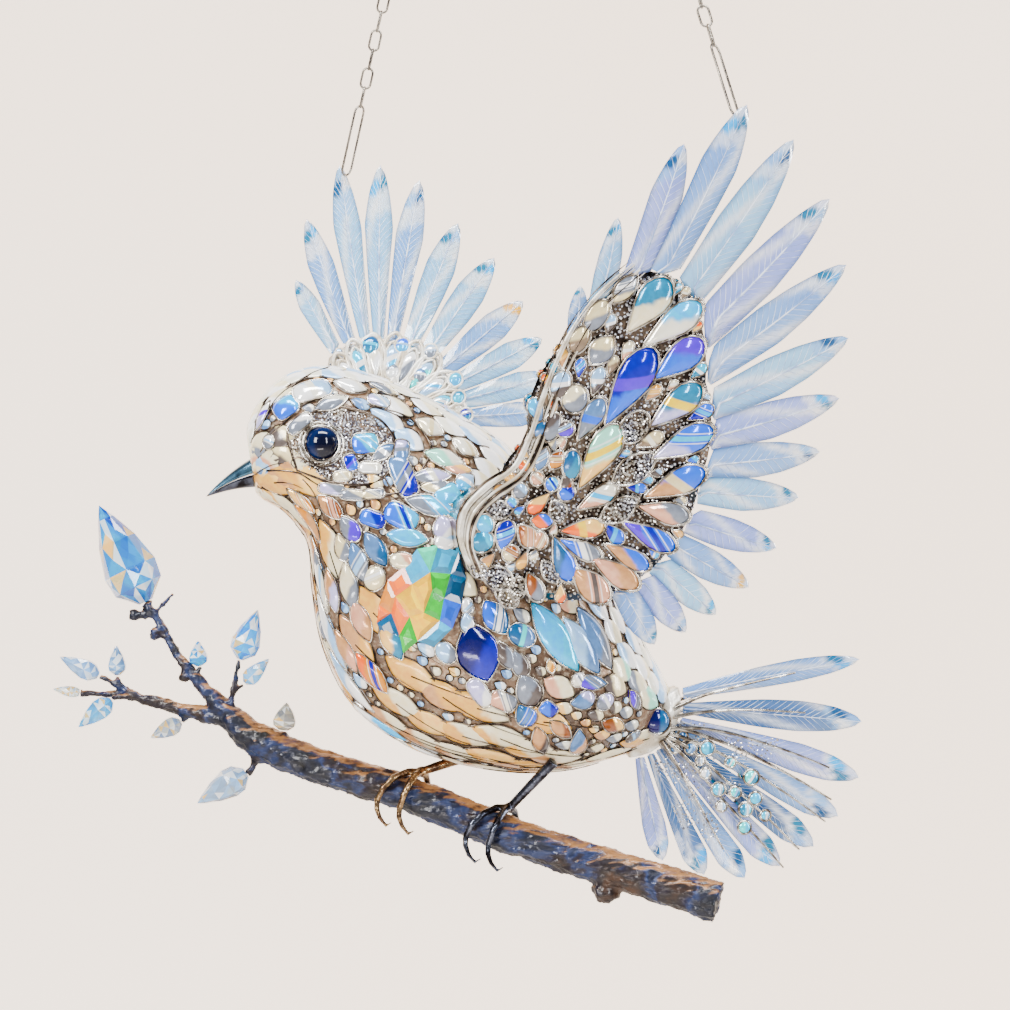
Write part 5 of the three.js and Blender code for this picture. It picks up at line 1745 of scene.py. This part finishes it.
piece("beak_upper", beak_mesh("beak_upper", 2, 178, 1.0), beak_steel, replaces=["beak"])
piece("beak_lower", beak_mesh("beak_lower", 184, 356, 0.8), dark_leg)

# %% [markdown]
# ## Branch, legs and twig crystals
# The branch is one casting with bark worked into it. A copy of the solid branch is refined and pushed in and
# out by a noise, so the knots and the twigs stay where they are. The legs are refined the same way.


# %% Branch
def refined(node, name, voxel, rough, wave):
    """A smooth copy of a CAD node, with relief in mm worked into it."""
    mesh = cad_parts[node].data.copy()
    mesh.name = name
    merged(mesh)
    obj = bpy.data.objects.new(name, mesh)
    bpy.context.scene.collection.objects.link(obj)
    remesh = obj.modifiers.new("remesh", "REMESH")
    remesh.mode = "VOXEL"
    remesh.voxel_size = voxel * MM
    soften = obj.modifiers.new("soften", "SMOOTH")
    soften.iterations = 5
    soften.factor = 0.5
    bpy.context.view_layer.update()
    result = bpy.data.meshes.new_from_object(obj.evaluated_get(bpy.context.evaluated_depsgraph_get()))
    bpy.data.objects.remove(obj)
    facings = [vertex.normal.copy() for vertex in result.vertices]
    places = []
    for vertex, facing in zip(result.vertices, facings):
        spot = vertex.co / MM
        along = Vector((spot.x * wave * 0.35, spot.y * wave, spot.z * wave))
        push = noise.fractal(along, 0.9, 2.1, 4) + 0.35 * noise.noise(spot * wave * 4)
        places.append(vertex.co + facing * (push * rough * MM))
    result.vertices.foreach_set("co", np.array(places, np.float32).ravel())
    result.update()
    return result


piece("branch_bark", refined("branch", "branch_bark", 0.5, rough=0.55, wave=0.55), branch_metal,
      replaces=["branch"])
for node, metal in (("leg_near", dark_leg), ("leg_far", gold_leg)):
    leg = refined(node, node + "_cast", 0.28, rough=0.06, wave=1.6)
    piece(node + "_cast", leg, metal, replaces=[node])

# %% Twig crystals
TWIG_TONES = {
    "crystal_bud_large": ("deep", "sky"), "crystal_leaf_left_upper": ("ice", "slate"),
    "crystal_leaf_left_tip": ("cream", "ice"), "crystal_leaf_left_lower": ("sky", "slate"),
    "crystal_bud_left": ("ice", "steel"), "crystal_leaf_under": ("slate", "cream"),
    "crystal_leaf_low": ("ice", "grey"),
    "crystal_leaf_upper": ("sky", "blue"), "crystal_leaf_side": ("ice", "sky"),
    "crystal_bead": ("sky", "deep"),
    "crystal_on_branch": ("grey", "cream"),
}


def twig_crystal(node, tones):
    """A cut crystal: the solid one with each face split in smaller facets of alternating tone."""
    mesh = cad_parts[node].data.copy()
    merged(mesh)
    shell = bmesh.new()
    shell.from_mesh(mesh)
    bmesh.ops.dissolve_limit(shell, angle_limit=0.02, verts=shell.verts, edges=shell.edges)
    bmesh.ops.poke(shell, faces=shell.faces, offset=0.12 * MM)
    shell.to_mesh(mesh)
    shell.free()
    tone = mesh.attributes.new("main", "FLOAT_VECTOR", "CORNER")
    first, second = (PALETTE[t] for t in tones)
    picks = np.random.default_rng(len(node))
    values = []
    for face in mesh.polygons:
        share = float(picks.random())
        colour = PALETTE["white"] if share > 0.7 else mixed(first, second, share)
        if share < 0.05:
            colour = PALETTE["honey"]
        values.extend([colour] * face.loop_total)
    tone.data.foreach_set("vector", np.array(values, np.float32).ravel())
    return mesh


for node, tones in TWIG_TONES.items():
    piece(node + "_cut", twig_crystal(node, tones), twig_glass, smooth=False, replaces=[node])

# %% [markdown]
# ## Tail
# The tail's socket is a cuff of pale glitter with a dark round stone, and silver wires and turquoise stones
# run out from it along the feathers.

# %% Tail
piece("tail_cuff", refined("tail_socket", "tail_cuff", 0.4, rough=0.1, wave=0.9), pale_wire,
      replaces=["tail_socket"])
tail_stones, tail_rims = new_stones(), Paths()
TAIL_STONES = [
    (657, 721, 6.4, "navy steel teal"), (707, 748, 3.6, "cyan teal white"),
    (751, 777, 3.8, "aqua teal white"),
    (718, 789, 3.4, "cyan teal white"), (755, 798, 3.2, "cyan sky white"), (745, 809, 3.4, "teal cyan white"),
    (744, 827, 3.2, "aqua cyan white"), (721, 806, 2.6, "white ice grey"), (705, 773, 2.6, "white ice grey"),
    (690, 748, 3.0, "steel slate ice"), (682, 736, 2.6, "slate steel ice"),
    (730, 762, 2.6, "teal aqua white"),
    (735, 792, 2.8, "aqua teal ice"), (765, 815, 2.6, "cyan teal white"), (700, 760, 2.2, "grey white ice"),
    (674, 748, 2.4, "steel grey white"), (664, 742, 2.2, "slate grey white"),
]
for i, (px, py, size, colours) in enumerate(TAIL_STONES):
    for side in (1, -1):
        height = side * (7.4 if i == 0 else 2.0)
        spot = tail_fan.seen(px, py, abs(height))
        flat = Flat(tail_fan, height)
        centre = tail_fan.at(spot.x, spot.y, height)
        lay_stone(
            tail_stones, tail_rims, flat, centre, flat.facing,
            (tail_fan.polar(-40, 1) - tail_fan.at(0, 0)).normalized(),
            "oval", size, size, colours.split(), size * 0.22, 0.42, float(rng.random()),
        )
TAIL_STEPS = 30
TAIL_WIRES = [
    [(672, 708), (700, 697), (740, 686), (796, 673)], [(672, 716), (705, 712), (750, 710), (806, 713)],
    [(668, 728), (700, 728), (740, 736), (790, 752), (830, 768)],
    [(668, 732), (700, 744), (740, 764), (790, 796), (826, 822)],
    [(664, 738), (690, 762), (720, 796), (756, 836), (784, 868)],
    [(660, 740), (680, 770), (700, 806), (724, 850)],
    [(668, 725), (702, 735), (745, 752), (795, 778), (832, 800)],
    [(666, 735), (694, 752), (730, 784), (770, 820), (800, 850)],
]
for i, line in enumerate(TAIL_WIRES):
    for side in (1, -1):
        path = []
        for k in range(TAIL_STEPS + 1):
            px, py = through(np.array(line, float), k / TAIL_STEPS)
            spot = tail_fan.seen(px, py, 2.0)
            path.append(tail_fan.at(spot.x, spot.y, side * (3.4 - 1.9 * min(k / 12, 1.0))))
        tail_rims.add(path, [0.6 * (1 - 0.6 * k / TAIL_STEPS) for k in range(TAIL_STEPS + 1)])
piece("tail_stones", tail_stones.mesh("tail_stones"), set_stone)
piece("tail_wires", tail_rims.wires("tail_wires", silver, 6), None)
dust = Heap()
for k in range(46):
    angle, reach = -14 - 50 * rng.random(), 14 + 26 * rng.random()
    here = [tail_fan.polar(angle + dx, reach + dy, 1.75) for dx, dy in ((-2, -2), (2, -2), (2, 2), (-2, 2))]
    dust.add(here, [(0, 1, 2, 3)])
sparkle("tail_dust", dust, 0.8, 0.34, 21)

# %% [markdown]
# ## Chains and ring
# A chain starts with a long link through a feather. After it one short link repeats, each turned a quarter
# from the one before, at even steps on the line from the feather to the ring.

# %% Chains
LINK_PITCH = 5.06
LINK_WIDTH = 3.2
LINK_TWIST = 0.785
LINK_WIRE = 0.62
BAR_LENGTH = 19.5  # the long first link
BAR_WIDTH = 4.6
BAR_TWIST = 0.25


def link_path(length, width, rounds=8):
    """A closed link with round ends, long way along z."""
    middle = (width - LINK_WIRE) / 2
    straight = length / 2 - LINK_WIRE / 2 - middle
    path = []
    for end in (1, -1):
        for i in range(rounds + 1):
            turn = math.pi * i / rounds
            path.append(
                Vector((math.cos(turn) * middle * end, 0, (straight + math.sin(turn) * middle) * end))
            )
    return path


def chain_ends(node):
    """The lower and upper end of a chain, from its solid."""
    points = np.array([v.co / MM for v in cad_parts[node].data.vertices])
    low, high = points[:, 2].min(), points[:, 2].max()
    ends = [points[points[:, 2] < low + 0.5].mean(0), points[points[:, 2] > high - 0.5].mean(0)]
    return Vector(ends[0]), Vector(ends[1])


for node in ("chain_near", "chain_far"):
    low, high = chain_ends(node)
    along = (high - low).normalized()
    turn = along.to_track_quat("Z", "Y").to_matrix().to_4x4()
    total = (high - low).length
    count = round((total - BAR_LENGTH + 1.0) / LINK_PITCH)
    pitch = (total - BAR_LENGTH + 1.0) / count
    links = Paths()
    parts = [(BAR_LENGTH / 2, BAR_LENGTH, BAR_WIDTH, BAR_TWIST)]
    parts += [
        (BAR_LENGTH - 0.5 + pitch * (i + 0.5), pitch + 0.95, LINK_WIDTH, LINK_TWIST + i * math.pi / 2)
        for i in range(count)
    ]
    for place, length, width, twist in parts:
        put = Matrix.Translation(low + along * place) @ turn @ Matrix.Rotation(twist, 4, "Z")
        links.add([put @ point for point in link_path(length, width)], LINK_WIRE / 2, closed=True)
    piece(node + "_links", links.wires(node + "_links", chain_steel, 7), None, replaces=[node])

low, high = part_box("hanging_ring")
centre, wire = (low + high) / 2 / MM, (high.y - low.y) / MM
reach = (high.x - low.x) / 2 / MM - wire / 2
ring_path = Paths()
ring_path.add(
    [
        centre + Vector((math.sin(t) * reach, 0, math.cos(t) * reach))
        for t in np.linspace(0, 2 * math.pi, 65)[:-1]
    ],
    wire / 2, closed=True,
)
ring_mesh = ring_path.wires("hanging_ring_wire", chain_steel, 14)
piece("hanging_ring_wire", ring_mesh, None, replaces=["hanging_ring"])

# %% [markdown]
# ## Floor and light
# The picture has a pale room and soft light from the front and the left. The floor is nearly plain, so that
# it doesn't wash out the metal and the stones. The wall behind the bird glows, and dark gaps between the
# lamps give the metal its contrast.

# %% Floor and backdrop
FLOOR_LEVEL = -0.95
BEND_START, BEND = 1.6, 1.2  # where the floor starts to rise behind the bird, and the radius of its bend
backdrop = bpy.data.meshes.new("backdrop")
rows = [(-4.0, FLOOR_LEVEL), (BEND_START, FLOOR_LEVEL)]
rows += [
    (BEND_START + BEND * math.sin(t), FLOOR_LEVEL + BEND * (1 - math.cos(t)))
    for t in np.linspace(0.2, math.pi / 2, 8)
]
rows += [(BEND_START + BEND, 3.6)]
backdrop.from_pydata(
    [(x, y, z) for y, z in rows for x in (-5.0, 5.0)], [],
    [(2 * i, 2 * i + 1, 2 * i + 3, 2 * i + 2) for i in range(len(rows) - 1)],
)
backdrop.polygons.foreach_set("use_smooth", [True] * len(backdrop.polygons))
floor_paints = Paints("pale_floor")
floor_tone = floor_paints.mix(
    floor_paints.step(floor_paints.noise(2.0, 2.0), 0.3, 0.7), (0.66, 0.63, 0.59), (0.72, 0.69, 0.66)
)
backdrop.materials.append(floor_paints.surface(
    Base_Color=floor_tone, Roughness=0.9, Emission_Color=(1.0, 0.93, 0.86), Emission_Strength=0.18,
))
wall_paints = Paints("bright_wall")
wall_tone = wall_paints.mix(
    wall_paints.step(wall_paints.noise(1.4, 1.0), 0.2, 0.8), (1.0, 0.78, 0.60), (1.0, 0.83, 0.68)
)
backdrop.materials.append(wall_paints.surface(
    Base_Color=(0.8, 0.76, 0.7), Roughness=0.9, Emission_Color=wall_tone, Emission_Strength=2.8,
))
backdrop.polygons.foreach_set("material_index", [0] + [1] * (len(backdrop.polygons) - 1))
floor = bpy.data.objects.new("floor", backdrop)
bpy.context.scene.collection.objects.link(floor)
BIRD_MIDDLE = (0, 0, -0.3)


def lamp(name, place, size, power, tint=(1, 1, 1)):
    """A window of light that faces the bird."""
    light = bpy.data.lights.new(name, "AREA")
    light.shape = "RECTANGLE"
    light.size, light.size_y = size
    light.energy = power
    light.color = tint
    obj = bpy.data.objects.new(name, light)
    obj.location = place
    obj.rotation_euler = (Vector(BIRD_MIDDLE) - Vector(place)).to_track_quat("-Z", "Y").to_euler()
    bpy.context.scene.collection.objects.link(obj)


lamp("left_window", (-0.8, -0.9, 0.15), (0.35, 0.6), 27, (1.0, 0.98, 0.95))
lamp("front_strip", (0.55, -1.0, 0.1), (0.12, 0.7), 11, (0.92, 0.96, 1.0))
lamp("top_strip", (0.0, -0.25, 0.45), (0.6, 0.15), 12)
lamp("right_strip", (0.9, -0.1, -0.2), (0.12, 0.8), 8)
lamp("low_fill", (-0.2, -0.9, -0.9), (0.7, 0.1), 4, (1.0, 0.93, 0.85))

world = bpy.data.worlds.new("studio")
bpy.context.scene.world = world
world.use_nodes = True
world.node_tree.nodes["Background"].inputs[0].default_value = (0.80, 0.82, 0.88, 1)
world.node_tree.nodes["Background"].inputs[1].default_value = 0.24
